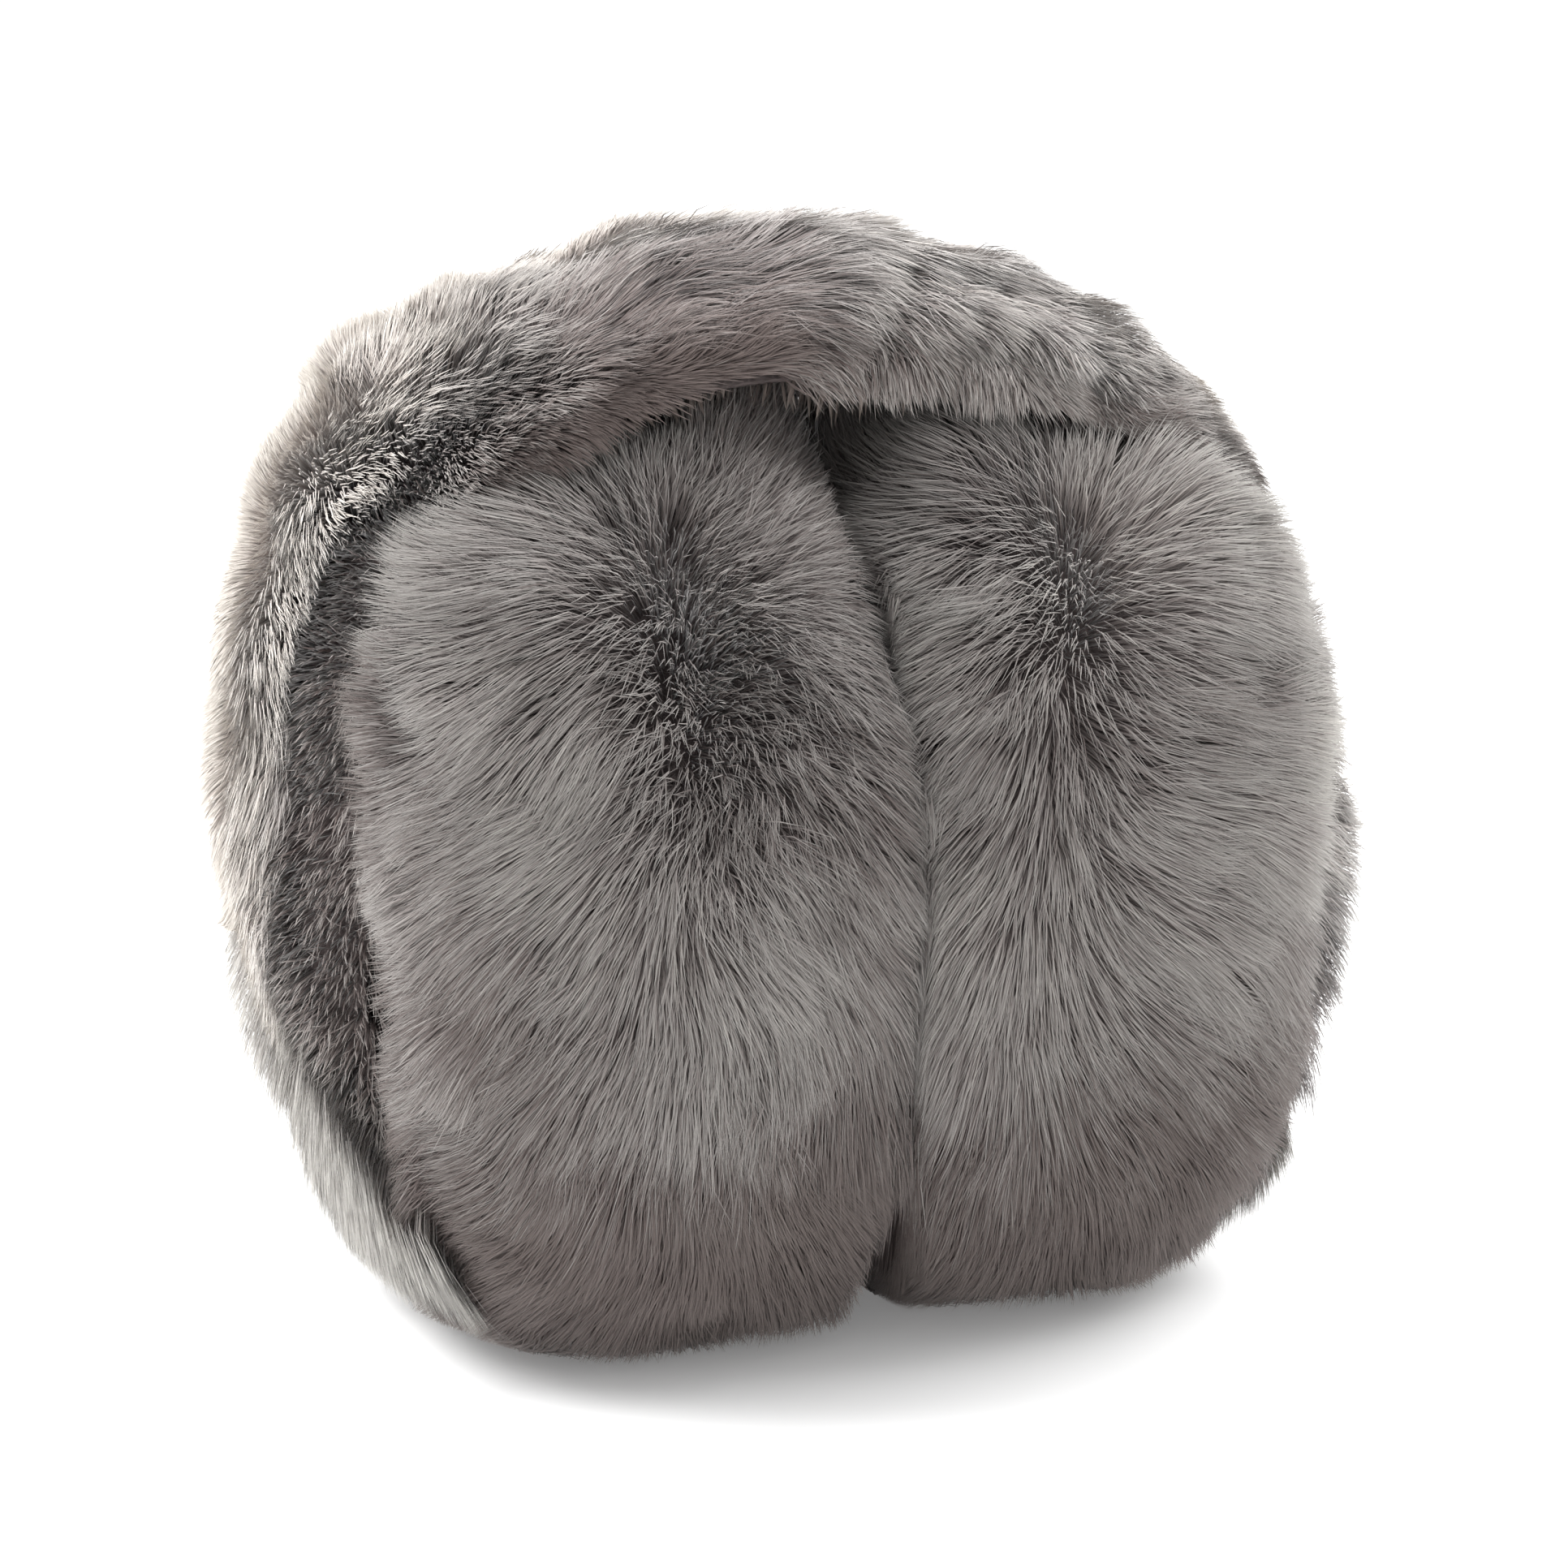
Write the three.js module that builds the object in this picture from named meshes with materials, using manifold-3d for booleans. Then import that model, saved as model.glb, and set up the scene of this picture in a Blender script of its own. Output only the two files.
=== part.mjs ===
// Plush fur earmuffs, sprung shut: two fat round ear pads stand side by side, and a padded fur band
// arches over them from flank to flank. Millimetres, +Z up, X from one ear to the other, -Y is the
// front. The origin is on the floor, under the middle.
import * as THREE from "three";
import { mergeVertices } from "three/addons/utils/BufferGeometryUtils.js";
import Module from "manifold-3d";

const wasm = await Module();
wasm.setup();

// Ear pads
const padHeight = 125; // from the floor to the crown
const padDepth = 118; // from front to back
const padThickness = 70; // from the plane where the pads meet to the outer flank
const discSquareness = 2.5; // exponent of the pad's round outline seen from the side, 2 for an ellipse
const rimSquareness = 3; // exponent of its rounded edge seen from the front
const padLean = 5; // degrees that a pad's top leans away from the other pad
const floorPress = 8; // how much of the round pad the floor presses flat
const meetingPress = 14; // how much of it the other pad presses flat
const meetingGap = 0.8; // between the two pads

// Fur locks on the pads
const padLockWidth = 20;
const padLockRise = 3; // how far a lock stands above the pile around it
const padLockReach = 34; // degrees that a lock runs over the pad, from root to tip

// Band
const archWidth = 150; // over the outside of the band
const archHeight = 146; // from the floor to the top of the band
const archShoulder = 74; // height at which the band is widest
const archDrop = 92; // from the shoulder down to where the oval would close
const archSquareness = 2.3;
const crownShift = -3; // how far the crown sags to one side
const crownWidth = 52; // of the band, from front to back, at the top
const endWidth = 42; // and at its sewn ends
const coverThickness = 16;
const endThickness = 11; // where the padding thins out to the seam
const valleyDepth = 5; // of the stitched groove between the band's two rolls
const tuftPitch = 24; // from one stitched dimple to the next, along the groove
const pucker = 1.6; // how far the rolls draw in beside a dimple
const liningThickness = 4;
const liningInset = 4; // how far the lining's edge lies inside the band's edge

// Fringe of fur locks along both edges of the band
const fringeLockWidth = 19;
const fringeLockRise = 2;
const fringeLockLean = 9; // how far a lock's tip leans along the band

// Seam where the band's end is sewn to the panel on the pad's flank
const seamHeight = 50; // at the middle of the band
const seamFrontDrop = 27; // how much lower it is at the band's front edge
const seamBackRise = 4; // how much higher it is at the band's back edge

// Panel of long fur on each pad's outer flank, below the seam
const panelThickness = 8;
const panelProud = 2; // how far it stands out of the pad's own pile
const panelWidth = 56; // from front to back
const panelFloorGap = 3;

const seatGap = 0.3; // between pieces that are sewn to each other
const pileGap = 0.5; // between the band and the pile that it lies in
const fringeGap = 2; // between the band's fringe and the pads' outermost pile

// The fur parts at one place on the front of each pad and at one on its back. Shares of the pad's
// thickness, counted from the plane where the pads meet, and of its height.
const partings = {
  left: { side: -1, front: 0.45, back: 0.5, height: 0.62 },
  right: { side: 1, front: 0.36, back: 0.5, height: 0.68 },
};

// Rings of locks round each parting: how far from it their roots lie, in degrees, how many there are,
// and the turn of the first, as a share of the step between two
const padLockRings = [
  { from: 12, count: 6, turn: 0.5 },
  { from: 36, count: 9, turn: 0 },
  { from: 60, count: 11, turn: 0.5 },
];

// A lock from root to tip. width is a share of the lock's width, and ridge, sides and belly are the
// heights above the pile of its top, its two edges and its underside, as shares of its rise.
const lockStations = [
  { along: 0, width: 0.5, ridge: 0, sides: -0.6, belly: -1.5 },
  { along: 0.45, width: 1, ridge: 0.8, sides: -0.4, belly: -1.5 },
  { along: 0.85, width: 0.75, ridge: 1, sides: 0.1, belly: -1 },
  { along: 1, width: 0.2, ridge: 0.8, sides: 0.55, belly: 0.3 },
];

// Half of the band cover's section, from the groove round its edge to the inside. across is a share of
// half the band's width, deep of its thickness, groove of the valley's depth and drawn of the pucker.
const coverSection = [
  { across: 0, deep: 0, groove: 1, drawn: 0 },
  { across: 0.2, deep: 0, groove: 0.42, drawn: 0.6 },
  { across: 0.5, deep: 0, groove: 0, drawn: 1 },
  { across: 0.78, deep: 0.12, groove: 0, drawn: 0.8 },
  { across: 0.95, deep: 0.36, groove: 0, drawn: 0.4 },
  { across: 1, deep: 0.62, groove: 0, drawn: 0 },
  { across: 0.92, deep: 0.88, groove: 0, drawn: 0 },
  { across: 0.75, deep: 1, groove: 0, drawn: 0 },
  { across: 0, deep: 1, groove: 0, drawn: 0 },
];

// The same for the lining, whose outer side is sewn to the cover's inside
const liningSection = [
  { across: 0, deep: 0 },
  { across: 0.9, deep: 0 },
  { across: 1, deep: 0.5 },
  { across: 0.88, deep: 1 },
  { across: 0, deep: 1 },
];

const degree = Math.PI / 180;
const far = archWidth + archHeight;

// A closed surface as a solid, and a solid as a surface
function solidFrom(geometry) {
  const bare = new THREE.BufferGeometry();
  bare.setAttribute("position", geometry.getAttribute("position"));
  if (geometry.index) bare.setIndex(geometry.index);
  const merged = mergeVertices(bare, 1e-4);
  return new wasm.Manifold(
    new wasm.Mesh({
      numProp: 3,
      vertProperties: new Float32Array(merged.attributes.position.array),
      triVerts: new Uint32Array(merged.index.array),
    }),
  );
}

function surfaceOf(solid) {
  const mesh = solid.getMesh();
  const geometry = new THREE.BufferGeometry();
  geometry.setAttribute("position", new THREE.BufferAttribute(mesh.vertProperties, 3));
  geometry.setIndex(new THREE.BufferAttribute(mesh.triVerts, 1));
  const faceted = geometry.toNonIndexed();
  faceted.computeVertexNormals();
  return faceted;
}

// A cut can free a lock's tip: only the main body is the piece.
function mainBody(solid) {
  return solid.decompose().reduce((best, body) => (body.volume() > best.volume() ? body : best));
}

// Skin over closed rings of equally many points, with a fan over each end. Seen from the ring after
// it, each ring runs anticlockwise.
function skinOver(rings) {
  const size = rings[0].length;
  const last = (rings.length - 1) * size;
  const triangles = [];
  for (let start = 0; start < last; start += size) {
    for (let i = 0; i < size; i += 1) {
      const a = start + i;
      const b = start + ((i + 1) % size);
      triangles.push(a, b, b + size, a, b + size, a + size);
    }
  }
  for (let i = 1; i + 1 < size; i += 1) {
    triangles.push(0, i + 1, i);
    triangles.push(last, last + i, last + i + 1);
  }
  const geometry = new THREE.BufferGeometry().setFromPoints(rings.flat());
  geometry.setIndex(triangles);
  return geometry;
}

function block(from, to) {
  const size = new THREE.Vector3().subVectors(to, from);
  const middle = new THREE.Vector3().addVectors(from, to).multiplyScalar(0.5);
  const geometry = new THREE.BoxGeometry(size.x, size.y, size.z);
  return solidFrom(geometry.translate(middle.x, middle.y, middle.z));
}

// A lock is a curved tuft that leaves the pile at its root and ends in a free tip. placed gives the
// point at a share along the lock, a distance aside from its middle and a height above the pile.
function furLock(lockWidth, rise, placed) {
  const rings = lockStations.map(({ along, width, ridge, sides, belly }) => {
    const aside = (lockWidth / 2) * width;
    return [
      placed(along, 0, rise * ridge),
      placed(along, aside, rise * sides),
      placed(along, 0, rise * belly),
      placed(along, -aside, rise * sides),
    ];
  });
  return solidFrom(skinOver(rings));
}

// Before the floor and the other pad press it flat, a pad is a rounded disc about this centre.
const padCentre = (side) =>
  new THREE.Vector3((side * (padThickness - meetingPress)) / 2, 0, (padHeight - floorPress) / 2);
const padHalf = new THREE.Vector3(
  (padThickness + meetingPress) / 2,
  padDepth / 2,
  (padHeight + floorPress) / 2,
);

// The point of the upright disc that a direction from its centre meets, a depth below the outer pile,
// and the same place in the leaning pad
function padPoint(direction, depth) {
  const across = Math.abs(direction.x / (padHalf.x - depth));
  const front = Math.abs(direction.y / (padHalf.y - depth));
  const up = Math.abs(direction.z / (padHalf.z - depth));
  const disc = (front ** discSquareness + up ** discSquareness) ** (1 / discSquareness);
  const reach = (across ** rimSquareness + disc ** rimSquareness) ** (1 / rimSquareness);
  return direction.clone().divideScalar(reach);
}

function padPlace(side, direction, depth) {
  const leaned = new THREE.Vector3(0, 1, 0);
  return padPoint(direction, depth).applyAxisAngle(leaned, side * padLean * degree).add(padCentre(side));
}

function padBlob(side, depth) {
  const blobDetail = 4;
  const geometry = new THREE.IcosahedronGeometry(1, blobDetail);
  const position = geometry.getAttribute("position");
  const direction = new THREE.Vector3();
  for (let i = 0; i < position.count; i += 1) {
    const point = padPlace(side, direction.fromBufferAttribute(position, i).normalize(), depth);
    position.setXYZ(i, point.x, point.y, point.z);
  }
  return solidFrom(geometry);
}

// A lock that runs away from the parting. around is the way it takes, from the parting's right.
function padLock(side, parting, around, from) {
  const right = new THREE.Vector3().crossVectors(parting, new THREE.Vector3(0, 0, 1)).normalize();
  const up = new THREE.Vector3().crossVectors(right, parting);
  return furLock(padLockWidth, padLockRise, (along, aside, height) => {
    const turn = (from + along * padLockReach) * degree;
    const swing = around + aside / (padHalf.y * Math.sin(turn));
    const away = right.clone().multiplyScalar(Math.cos(swing)).addScaledVector(up, Math.sin(swing));
    const direction = parting.clone().multiplyScalar(Math.cos(turn));
    direction.addScaledVector(away, Math.sin(turn));
    return padPlace(side, direction, padLockRise - height);
  });
}

function padLocks({ side, front, back, height }) {
  const sides = [
    { share: front, facing: -1 },
    { share: back, facing: 1 },
  ];
  return sides.flatMap(({ share, facing }) => {
    const parting = new THREE.Vector3(
      side * share * padThickness,
      (facing * padDepth) / 2,
      height * padHeight,
    );
    parting.sub(padCentre(side)).normalize();
    return padLockRings.flatMap(({ from, count, turn }) =>
      new Array(count)
        .fill()
        .map((_, i) => padLock(side, parting, ((i + turn) / count) * 2 * Math.PI, from)),
    );
  });
}

// The band follows the top and the sides of an oval. turn is 0 at the top.
function archPoint(turn) {
  const power = 2 / archSquareness;
  const rise = Math.cos(turn) > 0 ? archHeight - archShoulder : archDrop;
  const share = Math.sign(Math.cos(turn)) * Math.abs(Math.cos(turn)) ** power;
  const aside = Math.sign(Math.sin(turn)) * Math.abs(Math.sin(turn)) ** power;
  return new THREE.Vector2(
    (archWidth / 2) * aside + crownShift * Math.max(0, share),
    archShoulder + rise * share,
  );
}

function archNormal(turn) {
  const step = 1e-3;
  const along = archPoint(turn + step).sub(archPoint(turn - step));
  return new THREE.Vector2(-along.y, along.x).normalize();
}

// The turn at which the band's outside comes down to a height below its shoulder
function turnAtHeight(height) {
  const share = Math.min(1, Math.max(0, (archShoulder - height) / archDrop));
  return Math.PI / 2 + Math.asin(share ** (archSquareness / 2));
}

// The seam's height, from the band's back edge at +1 to its front edge at -1
function seamAt(across) {
  const tilt = (seamBackRise + seamFrontDrop) / 2;
  const bow = (seamBackRise - seamFrontDrop) / 2;
  return seamHeight + tilt * across + bow * across * across;
}

const middleEnd = turnAtHeight(seamHeight);

// Where the seam is steepest, at the front edge, a gap square to it takes this much more height.
const steepestStep = 0.1;
const steepest = (seamAt(steepestStep - 1) - seamAt(-1)) / ((steepestStep * endWidth) / 2);
const seamSlant = Math.hypot(1, steepest);

// Length along the outside of the band, from seam to seam, and the tufts that it holds
const archSteps = 200;
const archLine = new Array(archSteps + 1)
  .fill()
  .map((_, i) => archPoint((2 * i / archSteps - 1) * middleEnd));
const archLength = archLine
  .slice(1)
  .reduce((sum, point, i) => sum + point.distanceTo(archLine[i]), 0);
const tuftCount = Math.max(2, Math.round(archLength / tuftPitch));
const stationsPerTuft = 2; // one in a dimple and one half-way to the next

// A place in the band: share runs from seam to seam as -1 to 1, across from front to back as -1 to 1,
// and inset is the distance below the outer line. Towards the ends, stations slant to the seam.
function bandPoint(share, across, inset) {
  const slant = share ** 4 * (turnAtHeight(seamAt(across)) - middleEnd);
  const turn = share * middleEnd + Math.sign(share) * slant;
  const outer = archPoint(turn);
  const normal = archNormal(turn);
  return new THREE.Vector3(
    outer.x - normal.x * inset,
    (across * bandWidthAt(share)) / 2,
    outer.y - normal.y * inset,
  );
}

const bandWidthAt = (share) => crownWidth + (endWidth - crownWidth) * share * share;
const thicknessAt = (share) => coverThickness + (endThickness - coverThickness) * share ** 6;

// How far the stitches draw the cover in: 1 at a dimple, 0 half-way between two
const drawAt = (share) => 0.5 + 0.5 * Math.cos((share + 1) * Math.PI * tuftCount);

// grow swells a strip on every side, to cut the bed that it lies in.
function bentStrip(section, grow, pointOf) {
  const otherHalf = section.slice(1, -1).reverse();
  const stationCount = tuftCount * stationsPerTuft + 1;
  const overrun = 1 + (2 * grow * seamSlant) / archLength;
  return solidFrom(
    skinOver(
      new Array(stationCount).fill().map((_, i) => {
        const share = overrun * ((2 * i) / (stationCount - 1) - 1);
        return [
          ...section.map((row) => pointOf(row, share, -1)),
          ...otherHalf.map((row) => pointOf(row, share, 1)),
        ];
      }),
    ),
  );
}

function coverStrip(grow) {
  return bentStrip(coverSection, grow, (row, share, hand) => {
    const stitched = valleyDepth * row.groove * (0.6 + 0.4 * drawAt(share));
    const drawn = pucker * row.drawn * drawAt(share);
    const swell = grow * (2 * row.deep - 1);
    const point = bandPoint(
      share,
      hand * row.across,
      row.deep * thicknessAt(share) + stitched + drawn + swell,
    );
    point.y += row.across > 0.5 ? hand * grow : 0;
    return point;
  });
}

function liningStrip(grow) {
  return bentStrip(liningSection, grow, (row, share, hand) => {
    const inset = thicknessAt(share) + seatGap + row.deep * liningThickness;
    const point = bandPoint(share, hand * row.across, inset + grow * (2 * row.deep - 1));
    point.y += row.across > 0.5 ? hand * (grow - liningInset) : 0;
    return point;
  });
}

// One lock of the fringe, which rolls over the band's front edge for hand -1, its back edge for 1
function fringeLock(share, hand) {
  const perMillimetre = 2 / archLength;
  const root = 25 * degree;
  const tip = 150 * degree;
  const rollCentre = 0.72;
  return furLock(fringeLockWidth, fringeLockRise, (along, aside, height) => {
    const place = share + (fringeLockLean * along + hand * aside) * perMillimetre;
    const angle = root + (tip - root) * along;
    const roll = thicknessAt(place) / 2;
    const point = bandPoint(place, hand * rollCentre, roll - (roll + height) * Math.cos(angle));
    point.y += hand * ((1 - rollCentre) * bandWidthAt(place) * 0.5 + height) * Math.sin(angle);
    return point;
  });
}

// The fringe runs along the part of the band that is free of the seams, at both edges.
function fringe() {
  const freeShare = 0.72;
  const count = Math.max(2, Math.round((archLength * freeShare) / fringeLockWidth));
  const locks = [-1, 1].flatMap((hand) =>
    new Array(count)
      .fill()
      .map((_, i) => fringeLock(freeShare * ((2 * i + 1 + 0.5 * hand) / count - 1), hand)),
  );
  return locks.reduce((row, lock) => row.add(lock));
}

// A prism along X over the panel's outline, seen from the side. The top edge is the seam, the foot a
// round bag, and grow widens both for the bed.
function panelPrism(side, grow) {
  const half = panelWidth / 2 + grow;
  const steps = 12;
  const footRoundness = 0.7;
  const edgeAt = (y) => seamAt(Math.max(-1, Math.min(1, (2 * y) / endWidth)));
  const outline = new THREE.Shape();
  outline.moveTo(half, edgeAt(half) + grow * seamSlant);
  for (let i = 1; i <= steps; i += 1) {
    const y = half - (2 * half * i) / steps;
    outline.lineTo(y, edgeAt(y) + grow * seamSlant);
  }
  for (let i = 1; i < steps; i += 1) {
    const angle = (i / steps) * Math.PI;
    const y = -half * Math.cos(angle);
    const fall = (edgeAt(y) - panelFloorGap) * Math.sin(angle) ** footRoundness;
    outline.lineTo(y, edgeAt(y) - fall - grow);
  }
  outline.closePath();
  const geometry = new THREE.ExtrudeGeometry(outline, { depth: far, bevelEnabled: false, steps: 1 });
  geometry.translate(0, 0, side < 0 ? -far : 0);
  const toSide = new THREE.Matrix4().makeBasis(
    new THREE.Vector3(0, 1, 0),
    new THREE.Vector3(0, 0, 1),
    new THREE.Vector3(1, 0, 0),
  );
  return solidFrom(geometry.applyMatrix4(toSide));
}

const belowFloor = block(new THREE.Vector3(-far, -far, -far), new THREE.Vector3(far, far, 0));
const bandBed = coverStrip(pileGap).add(liningStrip(pileGap));
const seamBed = coverStrip(seatGap).add(liningStrip(seatGap));

function padSolid(name) {
  const { side } = partings[name];
  const otherSide = block(
    new THREE.Vector3(side > 0 ? -far : -meetingGap / 2, -far, -far),
    new THREE.Vector3(side > 0 ? meetingGap / 2 : far, far, far),
  );
  const panelBed = panelPrism(side, seatGap).subtract(
    padBlob(side, panelThickness - panelProud + seatGap),
  );
  const furry = padLocks(partings[name]).reduce((pad, lock) => pad.add(lock), padBlob(side, padLockRise));
  return mainBody(furry.subtract(belowFloor).subtract(otherSide).subtract(bandBed).subtract(panelBed));
}

function panelSolid(name) {
  const { side } = partings[name];
  const layer = padBlob(side, -panelProud).subtract(padBlob(side, panelThickness - panelProud));
  return mainBody(layer.intersect(panelPrism(side, 0)).subtract(seamBed).subtract(belowFloor));
}

// Where a pad's pile reaches, the band's fringe gives way to it.
function coverSolid() {
  const clearFringe = Object.values(partings).reduce(
    (row, { side }) => row.subtract(padBlob(side, -fringeGap)),
    fringe(),
  );
  return mainBody(coverStrip(0).add(clearFringe).subtract(liningStrip(seatGap)));
}

const fur = (color) => new THREE.MeshStandardMaterial({ color, roughness: 0.95, metalness: 0 });
const furColours = {
  pad: "#857d79",
  panel: "#7f7672",
  cover: "#8f8781",
  lining: "#6b615c",
};

// A named piece whose own origin is a point of the assembly
function piece(name, solid, color, origin = new THREE.Vector3()) {
  const geometry = surfaceOf(solid).translate(-origin.x, -origin.y, -origin.z);
  const mesh = new THREE.Mesh(geometry, fur(color));
  mesh.name = name;
  mesh.position.copy(origin);
  return mesh;
}

const earmuffs = new THREE.Group();

for (const name of Object.keys(partings)) {
  const origin = padCentre(partings[name].side);
  earmuffs.add(piece(`${name}_pad`, padSolid(name), furColours.pad, origin));
  earmuffs.add(piece(`${name}_pad_panel`, panelSolid(name), furColours.panel, origin));
}

const band = new THREE.Group();
band.add(piece("band_cover", coverSolid(), furColours.cover));
band.add(piece("band_lining", liningStrip(0), furColours.lining));
earmuffs.add(band);

export default earmuffs;
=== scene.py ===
# %% [markdown]
# # Plush fur earmuffs, folded shut
#
# Two fat ear pads of long fur stand side by side, and a padded fur band arches over them. The
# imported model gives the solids: what this lesson adds is the fur. Every hair here is a real
# ribbon of mesh, so it shows from all sides and can be exported. Lengths are in metres.

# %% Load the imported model
import math

import bpy
import numpy as np
from mathutils import Matrix, Vector
from mathutils.kdtree import KDTree


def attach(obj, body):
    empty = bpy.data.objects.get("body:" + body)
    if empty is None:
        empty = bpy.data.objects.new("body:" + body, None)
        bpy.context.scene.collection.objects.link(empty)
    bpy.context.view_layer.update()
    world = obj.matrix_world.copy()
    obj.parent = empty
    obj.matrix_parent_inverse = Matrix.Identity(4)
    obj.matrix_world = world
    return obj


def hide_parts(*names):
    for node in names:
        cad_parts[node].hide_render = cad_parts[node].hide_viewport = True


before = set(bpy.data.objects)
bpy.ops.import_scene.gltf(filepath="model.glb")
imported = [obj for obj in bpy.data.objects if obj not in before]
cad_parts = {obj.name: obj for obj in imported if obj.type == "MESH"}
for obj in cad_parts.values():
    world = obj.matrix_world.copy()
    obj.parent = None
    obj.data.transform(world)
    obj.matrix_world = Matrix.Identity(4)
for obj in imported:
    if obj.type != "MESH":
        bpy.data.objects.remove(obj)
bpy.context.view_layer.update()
MM = 0.001
print("nodes:", sorted(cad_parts))

# %% [markdown]
# ## Camera, floor and light
#
# The photo looks down a little from the front left, through a long lens. The set is a white floor
# under a white sky that is brighter behind, with a large soft lamp at each side, so the fur is
# shaded softly and darkens where it lies deep, besides the painted shade in its tint.

# %% Camera
VIEW_FROM = {"azimuth": -22, "elevation": 14, "distance": 0.65}
LOOK_AT = Vector((0, 0, 0.07))
LENS = 108.1
FRAME_SIZE = 1932
SHIFT = (6 / FRAME_SIZE, -12 / FRAME_SIZE)


def direction_from(azimuth, elevation):
    """The unit vector from the object towards a viewer."""
    a, e = math.radians(azimuth), math.radians(elevation)
    return Vector((math.sin(a) * math.cos(e), -math.cos(a) * math.cos(e), math.sin(e)))


def aimed(position, target):
    """The matrix of a camera or lamp at a position that looks at a target."""
    turn = (target - position).to_track_quat("-Z", "Y")
    return Matrix.Translation(position) @ turn.to_matrix().to_4x4()


towards_viewer = direction_from(VIEW_FROM["azimuth"], VIEW_FROM["elevation"])
camera = bpy.data.objects.new("camera", bpy.data.cameras.new("camera"))
bpy.context.scene.collection.objects.link(camera)
camera.matrix_world = aimed(LOOK_AT + VIEW_FROM["distance"] * towards_viewer, LOOK_AT)
camera.data.lens = LENS
camera.data.sensor_width = 36
camera.data.shift_x, camera.data.shift_y = SHIFT
camera.data.clip_start, camera.data.clip_end = 0.01, 20
bpy.context.scene.camera = camera
bpy.context.scene.view_settings.view_transform = "Standard"
print("camera at", [round(v, 3) for v in camera.matrix_world.translation])

# %% Floor
FLOOR_HALF = 3.0
FLOOR_DROP = 0.2 * MM

floor_mesh = bpy.data.meshes.new("floor")
floor_corners = [(-FLOOR_HALF, -FLOOR_HALF), (FLOOR_HALF, -FLOOR_HALF), (FLOOR_HALF, FLOOR_HALF)]
floor_corners.append((-FLOOR_HALF, FLOOR_HALF))
floor_mesh.from_pydata([(x, y, -FLOOR_DROP) for x, y in floor_corners], [], [(0, 1, 2, 3)])
floor = bpy.data.objects.new("floor", floor_mesh)
bpy.context.scene.collection.objects.link(floor)
floor_paint = bpy.data.materials.new("white floor")
floor_paint.use_nodes = True
floor_shader = floor_paint.node_tree.nodes["Principled BSDF"]
floor_shader.inputs["Base Color"].default_value = (0.9, 0.9, 0.9, 1)
floor_shader.inputs["Roughness"].default_value = 0.9
floor_shader.inputs["Emission Color"].default_value = (1, 1, 1, 1)
floor_shader.inputs["Emission Strength"].default_value = 0.15
floor_mesh.materials.append(floor_paint)
print("floor", 2 * FLOOR_HALF, "m wide")

# %% Light
SKY = {"behind": 1.15, "front": 0.56}
LAMPS = [
    {"name": "soft key", "azimuth": -122, "elevation": 42, "far": 1.2, "size": 0.9, "power": 24},
    {"name": "soft rim", "azimuth": 92, "elevation": 38, "far": 1.2, "size": 0.9, "power": 16},
]

world = bpy.data.worlds.new("white sky")
bpy.context.scene.world = world
world.use_nodes = True
sky = world.node_tree
sky_place = sky.nodes.new("ShaderNodeTexCoord")
sky_parts = sky.nodes.new("ShaderNodeSeparateXYZ")
sky_fall = sky.nodes.new("ShaderNodeMapRange")
sky_fall.inputs["From Min"].default_value = -1
sky_fall.inputs["From Max"].default_value = 0.6
sky_fall.inputs["To Min"].default_value = SKY["front"]
sky_fall.inputs["To Max"].default_value = SKY["behind"]
sky.links.new(sky_place.outputs["Generated"], sky_parts.inputs["Vector"])
sky.links.new(sky_parts.outputs["Y"], sky_fall.inputs["Value"])
sky.links.new(sky_fall.outputs["Result"], sky.nodes["Background"].inputs["Strength"])
sky.nodes["Background"].inputs["Color"].default_value = (1, 1, 1, 1)
for lamp in LAMPS:
    light = bpy.data.lights.new(lamp["name"], "AREA")
    light.size, light.energy = lamp["size"], lamp["power"]
    holder = bpy.data.objects.new(lamp["name"], light)
    bpy.context.scene.collection.objects.link(holder)
    place = LOOK_AT + lamp["far"] * direction_from(lamp["azimuth"], lamp["elevation"])
    holder.matrix_world = aimed(place, LOOK_AT)
print("lamps:", [lamp["name"] for lamp in LAMPS])

# %% [markdown]
# ## The shape of an ear pad
#
# A pad is a rounded disc that stands on its edge, leans a little outwards and is pressed flat by
# the floor and by the other pad. Fur needs more than the solid's surface: each hair starts deep
# in the pile and ends at its outside, so the shape is a function that gives the point below or
# above the outer pile for any direction from the pad's middle. The numbers are those of the
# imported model.

# %% Pad shape
PAD_HALF = np.array([42, 59, 66.5]) * MM
PAD_CENTRE = np.array([28, 0, 58.5]) * MM
PAD_LEAN = math.radians(5)
DISC_SQUARENESS = 2.5
RIM_SQUARENESS = 3


def leaned(side, points, back=False):
    """Points turned with the pad's lean, or back out of it."""
    turn = side * PAD_LEAN * (-1 if back else 1)
    x, y, z = points[..., 0], points[..., 1], points[..., 2]
    c, s = math.cos(turn), math.sin(turn)
    return np.stack([x * c + z * s, y, z * c - x * s], -1)


def disc_and_pad(scaled):
    """How far out in the pad's disc and in the whole pad a place lies, 1 at the outer pile."""
    across, front, up = np.moveaxis(scaled, -1, 0)
    disc = (front**DISC_SQUARENESS + up**DISC_SQUARENESS) ** (1 / DISC_SQUARENESS)
    return disc, (across**RIM_SQUARENESS + disc**RIM_SQUARENESS) ** (1 / RIM_SQUARENESS)


def on_pad(side, directions, depth):
    """The points at a depth below the pad's outer pile, seen from its middle."""
    half = PAD_HALF - np.asarray(depth)[..., None]
    _, reach = disc_and_pad(np.abs(directions / half))
    return leaned(side, directions / reach[..., None]) + PAD_CENTRE * [side, 1, 1]


def unit(vectors):
    """The vectors at length 1."""
    return vectors / np.maximum(np.linalg.norm(vectors, axis=-1, keepdims=True), 1e-12)


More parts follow.
